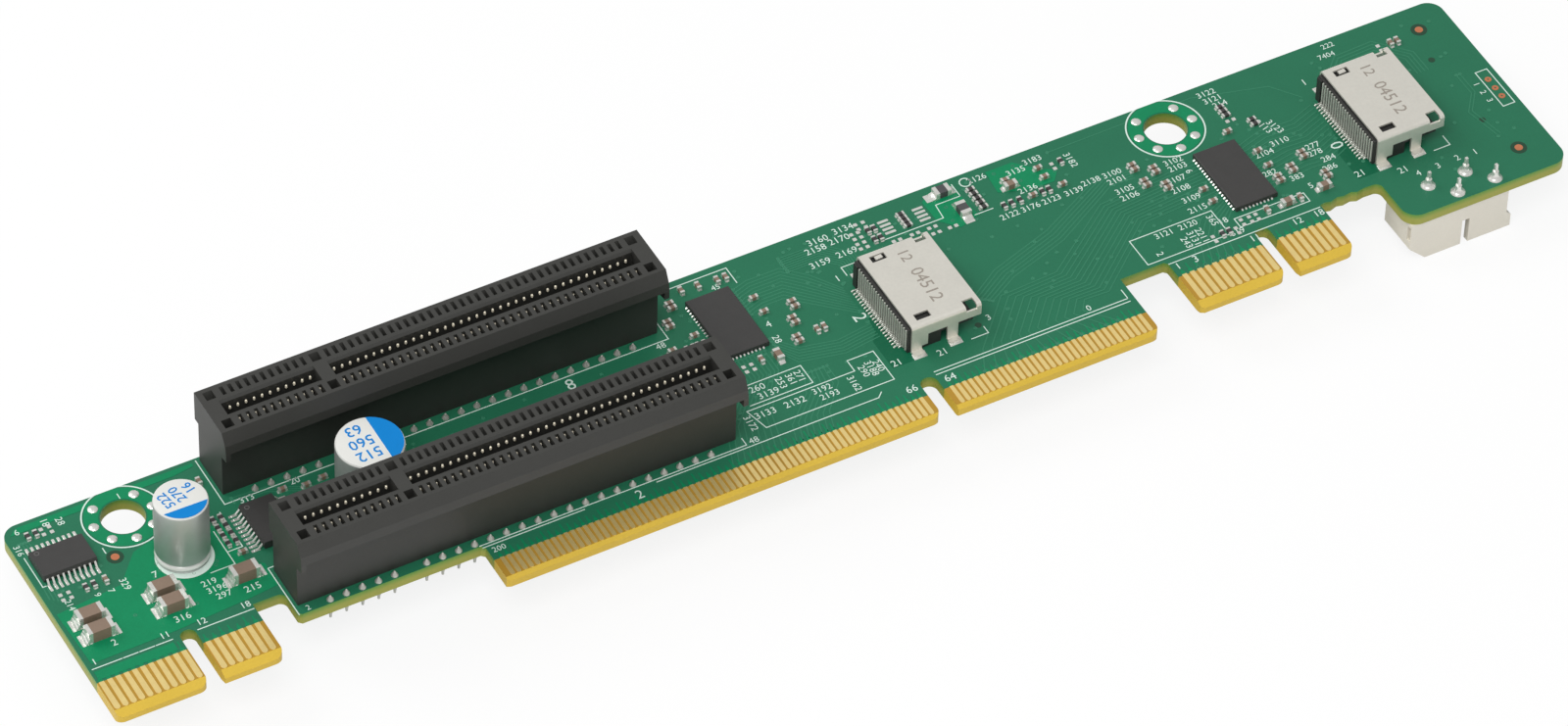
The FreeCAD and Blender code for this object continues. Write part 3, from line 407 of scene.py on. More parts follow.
finish_piece("masked_copper_areas", shape, masked_copper)


def lay_tracks(shape, bundles, width, base, tops):
    """Lay each bundle's tracks side by side, and give their routes. The heights keep crossings apart."""
    routes = []
    for order, (count, corners) in enumerate(bundles):
        for number in range(count):
            route = [(x + number * right, y + number * back) for x, y, right, back in corners]
            strip(shape, route, width, base, tops[order % len(tops)])
            routes.append(route)
    return routes


# Each bundle: how many tracks, and for each corner the first track's place and
# how far right and back the next track is shifted from it.
bundles = [
    # Between the left switch chip and the left cable port
    (10, [(77.6, 0.0, 0, -0.5), (79.6, 0.6, 0, -0.5), (84.0, 0.6, -0.2, -0.5), (86.6, -2.0, -0.38, -0.32),
          (89.0, -5.6, 0, -0.5)]),
    (6, [(77.6, -8.9, 0, -0.5), (80.0, -11.6, -0.24, -0.4), (84.5, -12.6, -0.02, -0.45),
         (89.0, -12.0, 0, -0.45)]),
    (8, [(84.6, 2.0, 0.0, -0.35), (89.8, 2.0, -0.15, -0.35), (92.9, -1.1, -0.35, -0.15),
         (92.9, -4.4, -0.35, 0)]),
    # From the left switch chip down to the middle fingers
    (9, [(72.2, -10.2, 0.5, 0), (72.2, -13.6, 0.5, 0), (66.4, -19.4, 0.72, 0), (64.4, -24.6, 0.8, 0)]),
    (7, [(78.4, -15.6, 0.5, 0), (77.2, -18.4, 0.7, 0), (73.4, -22.0, 0.8, 0), (72.6, -24.6, 0.8, 0)]),
    # From the middle fingers up to the right switch chip
    (12, [(97.0, -24.6, 1.6, 0), (98.6, -21.4, 1.2, 0), (104.6, -15.0, 0.75, -0.45),
          (112.2, -14.6, 0.35, -0.5), (122.2, -7.4, 0.3, -0.45), (135.4, -6.2, 0, -0.5)]),
    (6, [(101.6, -13.8, 0.35, -0.3), (106.0, -11.0, 0.3, -0.4), (114.6, -8.2, 0.2, -0.45),
         (124.4, -3.2, 0.12, -0.4), (128.0, -3.4, 0, -0.4)]),
    # Right fingers and right switch chip
    (6, [(127.2, -21.4, 1.0, 0), (128.6, -18.0, 0.8, -0.2), (131.5, -14.8, 0.4, -0.45),
         (135.6, -13.0, 0, -0.4)]),
    (14, [(141.6, -6.4, 0, -0.6), (144.8, -5.4, 0.2, -0.62), (149.2, -5.6, 0.05, -0.62),
          (152.6, -4.4, 0, -0.62)]),
    # Behind and right of the right cable port
    (4, [(157.0, -2.8, 0.5, 0), (157.0, -1.0, 0.5, -0.2), (159.4, 1.4, 0.2, -0.5),
         (164.6, 1.6, -0.15, -0.5), (168.2, -2.2, -0.5, -0.2), (168.2, -5.6, -0.5, 0)]),
    (1, [(121.0, 2.9, 0, 0), (140.6, 3.1, 0, 0), (149.8, 0.6, 0, 0), (152.4, -2.8, 0, 0)]),
    (2, [(170.6, -8.0, 0.5, 0), (170.6, -11.4, 0.5, 0), (168.6, -14.0, 0.5, 0), (169.6, -18.6, 0.5, 0)]),
    # Left end and the strip between the slots
    (4, [(-12.2, 1.4, 0.4, 0), (-12.2, -0.6, 0.4, 0), (-12.6, -7.6, 0.4, -0.3)]),
    (3, [(12.0, -3.0, 0, -0.35), (16.0, -3.2, 0, -0.35), (22.0, -6.0, 0, -0.35), (36.0, -6.4, 0, -0.4),
         (60.0, -8.4, 0, -0.4), (67.0, -8.2, 0, -0.4)]),
    (5, [(30.6, -12.2, 0.7, -0.3), (40.0, -10.2, 0.3, -0.4), (62.0, -11.2, 0.2, -0.4),
         (68.6, -10.2, 0.1, -0.4)]),
]
shape = bmesh.new()
track_tops = [board_top + (foil - 0.02 + 0.007 * level) for level in range(3)]
routes = lay_tracks(shape, bundles, track_width, board_top, track_tops)
finish_piece("masked_copper_tracks", shape, masked_tracks)

# Plated through holes, capped by the mask: low domes with a dimple, at the tracks'
# starts and scattered over fields, each with its limits and its count.
hole_cap = [(0.26, -0.02), (0.26, 0.025), (0.18, 0.05), (0.08, 0.02), (0.0, 0.01)]
hole_fields = [(-12, 9, -17, 2.5, 34), (12, 68, -8, -4.5, 22), (67, 90, -20, 3, 60), (92, 123, -3, 3.5, 36),
               (97, 124, -19, -5, 40), (124, 152, -17, -3, 60), (152, 173, -22, 3, 26)]
chance = random.Random(7)
capped_holes = [route[0] for route in routes]
for left, right, front, back, count in hole_fields:
    capped_holes += [(chance.uniform(left, right), chance.uniform(front, back)) for _ in range(count)]
clear_of_mounts = 5.4
capped_holes = [hole for hole in capped_holes
                if all(math.dist(hole, mount) > clear_of_mounts for mount in hole_places)]


def dot_piece(name, profile, places, surface, material, steps, facing=1, replaces=()):
    """A piece of small turned forms, standing on a surface (facing 1) or hanging from it (facing -1)."""
    shape = bmesh.new()
    turned(shape, [(radius, facing * height) for radius, height in profile], steps=steps)
    repeat_at(shape, [(x, y, surface) for x, y in places])
    finish_piece(name, shape, material, replaces=replaces)


dot_piece("tented_holes", hole_cap, capped_holes, board_top, masked_tracks, 8)

# The underside carries tracks of its own, the same holes and rings round the mounts.
under_bundles = [
    (14, [(14.2, -7.6, 3.6, 0), (16.0, -10.2, 3.6, 0), (16.0, -13.2, 3.6, 0)]),
    (16, [(69.0, -24.4, 1.2, 0), (71.0, -20.6, 1.0, 0), (84.0, -8.6, 0.5, -0.6), (118.0, -4.0, 0.1, -0.6)]),
    (8, [(126.0, -21.0, 1.0, 0), (127.6, -17.0, 0.8, 0), (133.0, -10.2, 0.4, -0.4),
         (150.0, -9.6, 0, -0.5)]),
    (8, [(-12.0, -20.6, 1.0, 0), (-11.0, -16.4, 1.0, 0), (-5.0, -11.0, 0.5, -0.5), (12.0, -10.4, 0, -0.5)]),
]
shape = bmesh.new()
lay_tracks(shape, under_bundles, under_track_width, 0.0, [-foil + 0.006 * level for level in range(3)])
ring_the_holes(shape, land_inner, land_outer, -land_height, 0.0)
finish_piece("underside_masked_copper", shape, masked_tracks)
dot_piece("underside_tented_holes", hole_cap, capped_holes, 0.0, masked_tracks, 8, facing=-1)

# ------------------------------------------------------------------ mounting holes and bare copper
# Each mounting hole has solder-filled holes in a ring round it. Three round
# targets and three test pads are left as bare copper.

tin = mottled("solder_tin", paint(236, 236, 230), patches=900.0, change=0.25, grain=2500.0, relief=0.25,
              depth=0.03, roughness=0.26, metallic=0.65)
# A darker copy of the solder tin for the solder by the slots; the darkness is painted shade.
shade_painted_tin = mottled("tin_with_painted_shade", paint(196, 196, 188), patches=900.0, change=0.3, grain=2500.0, relief=0.25,
                   depth=0.03, roughness=0.32, metallic=0.5)
bare_copper = mottled("bare_copper", paint(214, 134, 96), patches=900.0, change=0.2, roughness=0.42,
                      metallic=0.6)
dark_halo = mottled("deep_mask", paint(22, 66, 44), roughness=0.35)
solder_bump = [(0.62, -0.01), (0.6, 0.06), (0.44, 0.17), (0.2, 0.23), (0.0, 0.24)]
ring_radius = 3.6
bumps_in_ring = 8
ring_spots = []
for x, y in hole_places:
    for step in range(bumps_in_ring):
        angle = 2 * math.pi * step / bumps_in_ring
        # The hole nearest the card's back edge is left out
        if step != bumps_in_ring // 4:
            ring_spots.append((x + ring_radius * math.cos(angle), y + ring_radius * math.sin(angle)))
dot_piece("mounting_ring_solder", solder_bump, ring_spots, board_top + foil, tin, 16)
dot_piece("underside_ring_solder", solder_bump, ring_spots, -foil, tin, 16, facing=-1)

round_targets = [(-3.4, -5.1), (170.75, 0.7), (170.75, -21.7)]
test_pad_x = 173.6
shape = bmesh.new()
turned(shape, [(0.5, -0.01), (0.5, 0.035), (0.0, 0.035)], steps=20)
repeat_at(shape, [(x, y, board_top) for x, y in round_targets])
for y in (-10.3, -11.9, -13.4):
    ring(shape, test_pad_x, y, 0.12, 0.42, board_top, board_top + 0.035, steps=16)
finish_piece("bare_copper_targets", shape, bare_copper)

shape = bmesh.new()
for x, y in round_targets:
    ring(shape, x, y, 0.52, 1.0, board_top, board_top + 0.012, steps=24)
for x, y in [(169.4, -4.4), (169.4, -15.8), (99.95, -17.9)]:
    turned(shape, [(0.42, 0.0), (0.42, 0.014), (0.0, 0.014)], x, y, board_top, steps=16)
finish_piece("dark_mask_spots", shape, dark_halo)

# ------------------------------------------------------------------ gold fingers
# Hard gold over nickel on copper, one plate per contact, square where the mask
# covers it and rounded at the insertion end.

gold = mottled("hard_gold", paint(255, 227, 150), patches=500.0, change=0.16, grain=1800.0, relief=0.12,
               roughness=0.3, metallic=0.62)


def box_mm(node):
    """A CAD node's lowest and highest corner."""
    return [Vector(corner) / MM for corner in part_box(node)]


def block(shape, low, high):
    """A straight-sided block between two corners."""
    size = Vector(high) - Vector(low)
    place = Matrix.Translation((Vector(low) + Vector(high)) / 2) @ Matrix.Diagonal((*size, 1.0))
    return bmesh.ops.create_cube(shape, size=1.0, matrix=place)["verts"]


def solids_of(node):
    """The box of each loose solid in a CAD node, in millimetres."""
    shape = bmesh.new()
    shape.from_mesh(nodes[node].data)
    bmesh.ops.remove_doubles(shape, verts=shape.verts, dist=1e-6)
    waiting = set(shape.verts)
    boxes = []
    while waiting:
        edge_of_search = [waiting.pop()]
        found = list(edge_of_search)
        while edge_of_search:
            corner = edge_of_search.pop()
            for edge in corner.link_edges:
                other = edge.other_vert(corner)
                if other in waiting:
                    waiting.remove(other)
                    found.append(other)
                    edge_of_search.append(other)
        low = Vector([min(corner.co[axis] for corner in found) for axis in range(3)]) / MM
        high = Vector([max(corner.co[axis] for corner in found) for axis in range(3)]) / MM
        boxes.append((low, high))
    shape.free()
    return sorted(boxes, key=lambda box: (round(box[0].x, 3), box[0].y))


def middles(node):
    """The middle of each solid in a CAD node, seen from above."""
    return [((low.x + high.x) / 2, (low.y + high.y) / 2) for low, high in solids_of(node)]


def finger_piece(node):
    """A row of fingers with rounded front ends, in the space of the CAD plates."""
    shape = bmesh.new()
    solids = solids_of(node)
    low, high = solids[0]
    radius = (high.x - low.x) / 2
    made = bmesh.ops.create_circle(shape, cap_ends=True, segments=12, radius=radius)["verts"]
    for corner in made:
        if corner.co.y > radius * 0.1:
            corner.co.y = high.y - low.y - radius
    raise_faces(shape, shape.faces[:], high.z - low.z)
    repeat_at(shape, [((a.x + b.x) / 2, a.y + radius, a.z) for a, b in solids])
    finish_piece(node + "_plated", shape, gold, replaces=(node,))


# Behind each finger the mask covers the rest of its pad and the start of its track.
stub_reaches = (0.9, 1.5, 1.2)
stub_half = 0.09
pad_share = 0.36
stub_shape = bmesh.new()
for tab in ("left", "middle", "right"):
    finger_piece(f"{tab}_edge_fingers")
    finger_piece(f"{tab}_edge_fingers_under")
    for number, (low, high) in enumerate(solids_of(f"{tab}_edge_fingers")):
        middle = (low.x + high.x) / 2
        reach = stub_reaches[number % 3]
        for half, start, end, height in (((high.x - low.x) * pad_share, -0.1, 0.5, 0.02),
                                         (stub_half, 0.4, reach, 0.018)):
            block(stub_shape, (middle - half, high.y + start, board_top),
                  (middle + half, high.y + end, board_top + height))
finish_piece("masked_finger_stubs", stub_shape, masked_copper)

# ------------------------------------------------------------------ card slots
# Two moulded housings of glass-filled nylon. Stamped contacts stand in the
# rows of openings, and their crowns bulge into the card gap.

slot_plastic = mottled("slot_nylon", paint(54, 54, 51), patches=500.0, change=0.18, grain=3500.0, relief=0.18,
                       roughness=0.5)
contact_metal = mottled("contact_plating", paint(206, 186, 146), patches=900.0, change=0.3, roughness=0.36,
                        metallic=1.0)
# The gold crowns and tips are coloured almost white with little metal: a painted highlight.
painted_highlight_gold = mottled("contact_tips_painted_highlight", paint(255, 246, 222), patches=900.0, change=0.06, roughness=0.3,
                     metallic=0.15)
crown_reach, crown_height, crown_size = 0.6, 10.2, (0.34, 0.38, 0.56)
tip_reach, tip_top, tip_bend = 1.9, 10.85, 0.1
tip_half_width, tip_half_depth, tip_length = 0.13, 0.09, 0.6
for side in ("rear", "front"):
    dress(f"{side}_slot_housing", slot_plastic)
    dress(f"{side}_slot_contacts", contact_metal)
    low, high = box_mm(f"{side}_slot_contacts")
    row = (low.y + high.y) / 2
    columns = sorted({round(x, 2) for x, _ in middles(f"{side}_slot_contacts")})
    shape = bmesh.new()
    bmesh.ops.create_uvsphere(shape, u_segments=8, v_segments=4, radius=0.5)
    bmesh.ops.scale(shape, verts=shape.verts, vec=crown_size)
    repeat_at(shape, [(x, row + reach, board_top + crown_height)
                      for x in columns for reach in (-crown_reach, crown_reach)])
    finish_piece(f"{side}_slot_crowns", shape, painted_highlight_gold)
    # The tips show at the top of the outer openings, narrowed where they bend over
    shape = bmesh.new()
    top = board_top + tip_top
    for x in columns:
        for y in (row - tip_reach, row + tip_reach):
            for corner in block(shape, (x - tip_half_width, y - tip_half_depth, top - tip_length),
                                (x + tip_half_width, y + tip_half_depth, top)):
                if corner.co.z > top - tip_bend:
                    corner.co.x = x + (corner.co.x - x) * 0.6
    finish_piece(f"{side}_slot_contact_tips", shape, painted_highlight_gold)

# Every contact's tail is soldered from below, and the outer tails of the front
# row show their shoulders and solder beside the housing's foot.
tail_solder = [(0.0, -1.3), (0.15, -1.22), (0.19, -0.7), (0.36, -0.12), (0.44, 0.01)]
shoulder_solder = [(0.44, -0.01), (0.43, 0.1), (0.36, 0.24), (0.25, 0.4), (0.17, 0.54), (0.12, 0.66),
                   (0.06, 0.73), (0.0, 0.75)]
for side in ("rear", "front"):
    tails, shoulders = f"{side}_slot_tails", f"{side}_slot_shoulders"
    # The slots' solder takes the darker tin, which is painted shade.
    dot_piece(f"{side}_slot_solder", tail_solder, middles(tails), 0.0, shade_painted_tin, 8,
              replaces=(tails,))
    dot_piece(f"{side}_slot_shoulder_solder", shoulder_solder, middles(shoulders), board_top, shade_painted_tin,
              12, replaces=(shoulders,))

# ------------------------------------------------------------------ can capacitors
# Drawn aluminium cans, crimped round a rubber plug near the foot. The top is
# coated white, with a blue segment on the minus side and the rating in blue.

can_skin = mottled("can_aluminium", paint(186, 190, 187), patches=260.0, change=0.1, grain=1600.0,
                   relief=0.08, roughness=0.46, metallic=0.65)
# The crimp band is aluminium, coloured near white with little metal as a painted highlight where the curl
# catches the light.
crimp_painted_highlight = mottled("crimp_painted_highlight", paint(238, 238, 234), patches=260.0, change=0.06, roughness=0.3,
                    metallic=0.25)
can_white = mottled("can_white_ink", paint(222, 222, 217), change=0.04, roughness=0.45)
can_blue = mottled("can_blue_ink", paint(0, 126, 202), change=0.08, roughness=0.6, specular_ior_level=0.2)
digit_meshes = {}


def turned_place(x, y, z, turn_by):
    """A place and a turn about the upright, in degrees."""
    return Matrix.Translation((x, y, z)) @ Matrix.Rotation(math.radians(turn_by), 4, "Z")


def digits(shape, text, x, y, low, size, turn_by=0.0, thick=0.02, weight=0.0):
    """Plain printed digits, centred on a place and turned about it. Each number's mesh is made once."""
    if (text, size, weight) not in digit_meshes:
        curve = bpy.data.curves.new("digits", "FONT")
        curve.body, curve.size = text, size
        curve.offset, curve.extrude = weight, thick / 2
        curve.resolution_u = 2
        curve.align_x = curve.align_y = "CENTER"
        holder = bpy.data.objects.new("digits", curve)
        digit_meshes[text, size, weight] = bpy.data.meshes.new_from_object(holder)
        bpy.data.objects.remove(holder)
        bpy.data.curves.remove(curve)
    printed = digit_meshes[text, size, weight].copy()
    printed.transform(turned_place(x, y, low + thick / 2, turn_by))
    shape.from_mesh(printed)
    bpy.data.meshes.remove(printed)


def segment(shape, radius, chord, low, high, turn_by, x, y):
    """The part of a disc beyond a chord, such as the minus mark on a can."""
    bmesh.ops.create_circle(shape, cap_ends=True, segments=40, radius=radius)
    slice_off(shape, -chord)
    raise_faces(shape, shape.faces[:], high - low)
    bmesh.ops.transform(shape, matrix=turned_place(x, y, low, turn_by), verts=shape.verts)


# Each can: its node, how its minus mark is turned and how far, in radii, the mark's chord lies from
# the middle, how its digits are turned and how far they are moved, and their lines.
cans = [
    ("small_capacitor_can", -1.0, 0.44, 102.0, (0.0, 0.75), ("522", "270", "16")),
    ("large_capacitor_can", 89.5, 0.3, 181.0, (-0.9, 0.4), ("512", "560", "63")),
]
# The foot, the groove above it and the shoulder, each as a depth inside the can's radius and a height
can_foot = [(0.2, 0.0), (0.08, 0.05), (0.04, 0.16), (0.14, 0.28), (0.02, 0.4), (0.0, 0.5), (0.05, 0.62),
            (0.4, 1.0), (0.42, 1.08), (0.36, 1.14), (0.03, 1.2), (0.0, 1.26)]
can_shoulder = [(0.0, -0.42), (0.05, -0.22), (0.18, -0.06), (0.34, 0.0), (0.42, -0.02)]
crimp_band = [(0.42, 1.04), (0.14, 0.86), (-0.02, 0.6), (-0.03, 0.5), (0.06, 0.42), (0.42, 0.42)]
white_cap = [(0.03, -0.19), (0.13, -0.02), (0.3, 0.035)]
cap_drop = 0.03
digit_size, line_spacing = 0.52, 0.5
for node, mark_turn, chord, digits_turn, (shift_x, shift_y), lines in cans:
    low, high = box_mm(node)
    centre_x, centre_y = (low.x + high.x) / 2, (low.y + high.y) / 2
    radius, tall = (high.x - low.x) / 2, high.z - low.z
    top = high.z - cap_drop
    shape = bmesh.new()
    wall = [(radius - depth, height) for depth, height in can_foot]
    wall += [(radius - depth, tall + height) for depth, height in can_shoulder]
    turned(shape, [(0.0, 0.0), *wall, (0.0, tall - 0.02)], centre_x, centre_y, low.z, steps=72)
    finish_piece(f"{node}_shell", shape, can_skin, replaces=(node,))
    shape = bmesh.new()
    # The crimp band carries the painted highlight.
    band = [(radius - depth, height) for depth, height in crimp_band]
    turned(shape, band, centre_x, centre_y, low.z, steps=72)
    finish_piece(f"{node}_crimp", shape, crimp_painted_highlight)
    shape = bmesh.new()
    cap = [(radius - depth, height) for depth, height in white_cap]
    turned(shape, [*cap, (0.0, 0.04)], centre_x, centre_y, top, steps=64)
    finish_piece(f"{node}_white", shape, can_white)
    shape = bmesh.new()
    segment(shape, radius - 0.16, radius * chord, top + 0.01, top + 0.05, mark_turn, centre_x, centre_y)
    across = math.radians(digits_turn)
    for number, text in enumerate(lines):
        step = (1 - number) * radius * line_spacing
        x, y = centre_x - step * math.sin(across) + shift_x, centre_y + step * math.cos(across) + shift_y
        digits(shape, text, x, y, top + 0.032, radius * digit_size, digits_turn, weight=0.02)
    finish_piece(f"{node}_blue", shape, can_blue)

lead_solder = [(0.0, -1.3), (0.3, -1.25), (0.36, -0.8), (0.75, -0.12), (0.85, 0.01)]
dot_piece("capacitor_lead_solder", lead_solder, middles("capacitor_leads"), 0.0, tin, 14,
          replaces=("capacitor_leads",))

# ------------------------------------------------------------------ chips with leads
# Two moulded drivers with gull-wing leads, soldered toe and heel, and a round
# mark by the first lead.

epoxy = mottled("chip_epoxy", paint(58, 57, 56), patches=700.0, change=0.2, grain=5000.0, relief=0.2,
                depth=0.015, roughness=0.46)
mark_grey = mottled("laser_grey", paint(104, 102, 100), roughness=0.55)


def wedge(shape, axis, near, far, sides, floor, near_top, far_top):
    """A block along X (0) or Y (1) whose top slopes from its near edge to its far edge."""
    low, high = [0.0, 0.0, floor], [0.0, 0.0, near_top]
    low[axis], high[axis] = min(near, far), max(near, far)
    low[1 - axis], high[1 - axis] = sides
    for corner in block(shape, low, high):
        if abs(corner.co[axis] - far) < 0.001 and corner.co.z > (floor + near_top) / 2:
            corner.co.z = far_top


pad_margin, pad_heel, pad_toe = 0.05, 0.75, 0.35
pad_top = board_top + 0.05
pad_shape = bmesh.new()
mark_shape = bmesh.new()
for side in ("left", "centre"):
    dress(f"{side}_driver_body", epoxy)
    dress(f"{side}_driver_leads", tin)
    low, high = box_mm(f"{side}_driver_body")
    centre = (low + high) / 2
    axis = 1 if high.x - low.x > high.y - low.y else 0
    for a, b in solids_of(f"{side}_driver_leads"):
        away = 1 if (a[axis] + b[axis]) / 2 > centre[axis] else -1
        toe = b[axis] if away > 0 else a[axis]
        sides = (a[1 - axis] - pad_margin, b[1 - axis] + pad_margin)
        wedge(pad_shape, axis, toe - away * pad_heel, toe + away * pad_toe, sides,
              board_top, pad_top, pad_top)
    ring(mark_shape, low.x + 0.75, high.y - 0.75, 0.22, 0.3, high.z - 0.005, high.z + 0.01, steps=24)
finish_piece("driver_marks", mark_shape, mark_grey)

# ------------------------------------------------------------------ leadless switch chips
# Flat mouldings whose plated pads come up to the edge on all four sides, each
# with a little toe of solder.

toe_pitch, toe_half_width = 0.5, 0.1
toe_under, toe_reach = 0.02, 0.22
toe_near_top, toe_far_top = board_top + 0.2, board_top + 0.06
shape = bmesh.new()
for side in ("left", "right"):
    dress(f"{side}_switch_chip", epoxy)
    low, high = box_mm(f"{side}_switch_chip")
    for axis, corners_without in ((1, 1.2), (0, 0.8)):
        along = 1 - axis
        count = int((high[along] - low[along] - corners_without) / toe_pitch) + 1
        for number in range(count):
            place = (low[along] + high[along]) / 2 + (number - (count - 1) / 2) * toe_pitch
            for edge, away in ((low[axis], -1), (high[axis], 1)):
                wedge(shape, axis, edge - away * toe_under, edge + away * toe_reach,
                      (place - toe_half_width, place + toe_half_width), board_top, toe_near_top, toe_far_top)
finish_piece("switch_chip_toes", shape, tin)

# ------------------------------------------------------------------ chip components
# Ceramic capacitors, thick-film resistors and ferrite beads. Each has plated
# ends, soldered to two pads, and some pairs of pads are left without a part.

ceramic = mottled("capacitor_ceramic", paint(134, 114, 98), patches=700.0, change=0.14, roughness=0.42)
resistor_black = mottled("resistor_black", paint(58, 56, 56), patches=900.0, change=0.2, roughness=0.4)
ferrite = mottled("ferrite_grey", paint(74, 74, 76), patches=900.0, change=0.2, roughness=0.5)
for node, material in (("bulk_capacitor_bodies", ceramic), ("bulk_capacitor_ends", tin),
                       ("small_chip_capacitors", ceramic), ("medium_chip_capacitors", ceramic),
                       ("small_chip_resistors", resistor_black), ("ferrite_beads", ferrite)):
    dress(node, material)

# Each node: its plated end as a share of its length, how far its pads reach, and
# the fillet's share of its height.
end_shape = bmesh.new()
cap_skin = 0.02
pad_under, fillet_foot = 0.15, 0.05
for node, share_of_end, pad_reach, fillet in (
        ("small_chip_capacitors", 0.25, 0.16, 0.6), ("small_chip_resistors", 0.22, 0.14, 0.7),
        ("medium_chip_capacitors", 0.24, 0.4, 0.5), ("ferrite_beads", 0.24, 0.7, 0.5)):
    for low, high in solids_of(node):
        axis = 0 if high.x - low.x > high.y - low.y else 1
        start, end = low[1 - axis], high[1 - axis]
        length = high[axis] - low[axis]
        for away in (-1, 1):
            edge = high[axis] if away > 0 else low[axis]
            wedge(end_shape, axis, edge - away * length * share_of_end, edge + away * cap_skin,
                  (start - cap_skin, end + cap_skin), low.z, high.z + cap_skin, high.z + cap_skin)
            wedge(pad_shape, axis, edge - away * length * pad_under, edge + away * pad_reach, (start, end),
                  low.z, low.z + (high.z - low.z) * fillet, low.z + fillet_foot)
finish_piece("chip_plated_ends", end_shape, tin)

# A flat pad, then the fillet that climbs the terminal in two slopes
bulk_pads = [(-0.4, 0.8, 0.05, 0.05), (-0.1, 0.16, 1.1, 0.55), (0.16, 0.46, 0.55, 0.1)]
bulk_margin = 0.08
bulk_bodies = solids_of("bulk_capacitor_bodies")
for low, high in solids_of("bulk_capacitor_ends"):
    partner = min(bulk_bodies, key=lambda box: ((box[0] + box[1]) / 2 - (low + high) / 2).length)
    away = 1 if low.x > partner[0].x else -1
    edge = high.x if away > 0 else low.x
    sides = (low.y - bulk_margin, high.y + bulk_margin)
    for near, far, near_top, far_top in bulk_pads:
        wedge(pad_shape, 0, edge + away * near, edge + away * far, sides,
              board_top, board_top + near_top, board_top + far_top)

# Pairs of pads with no part on them, which run along X (0) or Y (1).
bare_pairs = [
    (0, [(98.3, -1.7), (100.7, -1.7), (103.0, -1.7), (103.0, -2.7), (105.2, -2.7), (142.9, -2.3),
         (68.9, -5.7), (70.3, -5.7)]),
    (1, [(-9.0, 2.0), (-8.0, 2.0), (-11.3, -8.0), (-10.3, -8.0), (95.2, 2.3), (96.2, 2.3), (94.0, 1.1),
         (94.9, 1.1), (93.9, -0.6), (94.8, -0.6), (120.5, 0.6), (135.5, -17.5), (136.6, -17.5),
         (137.5, -17.5), (131.2, -18.4), (134.3, -18.4), (72.8, -11.9), (73.8, -11.9), (164.9, 0.1)]),
]
pair_half, bare_half = 0.42, 0.24
for axis, pairs in bare_pairs:
    for pair in pairs:
        for away in (-pair_half, pair_half):
            place = list(pair)
            place[axis] += away
            block(pad_shape, (place[0] - bare_half, place[1] - bare_half, board_top),
                  (place[0] + bare_half, place[1] + bare_half, board_top + 0.06))
# A chip's two rows of bare pads, and two larger pads beside them
row_pitch, row_half_length, row_half_width = 0.64, 0.7, 0.18
for row_x in (98.3, 102.9):
    for number in range(4):
        y = 1.75 - number * row_pitch
        block(pad_shape, (row_x - row_half_length, y - row_half_width, board_top),
              (row_x + row_half_length, y + row_half_width, board_top + 0.06))
block(pad_shape, (104.4, 2.0, board_top), (105.4, 3.2, board_top + 0.07))
block(pad_shape, (106.8, -3.1, board_top), (108.0, -2.4, board_top + 0.07))

# ------------------------------------------------------------------ cable ports
# A folded shield of tinned steel over a dark moulded insulator. The contacts
# come down the back face side by side and are soldered in two staggered rows.

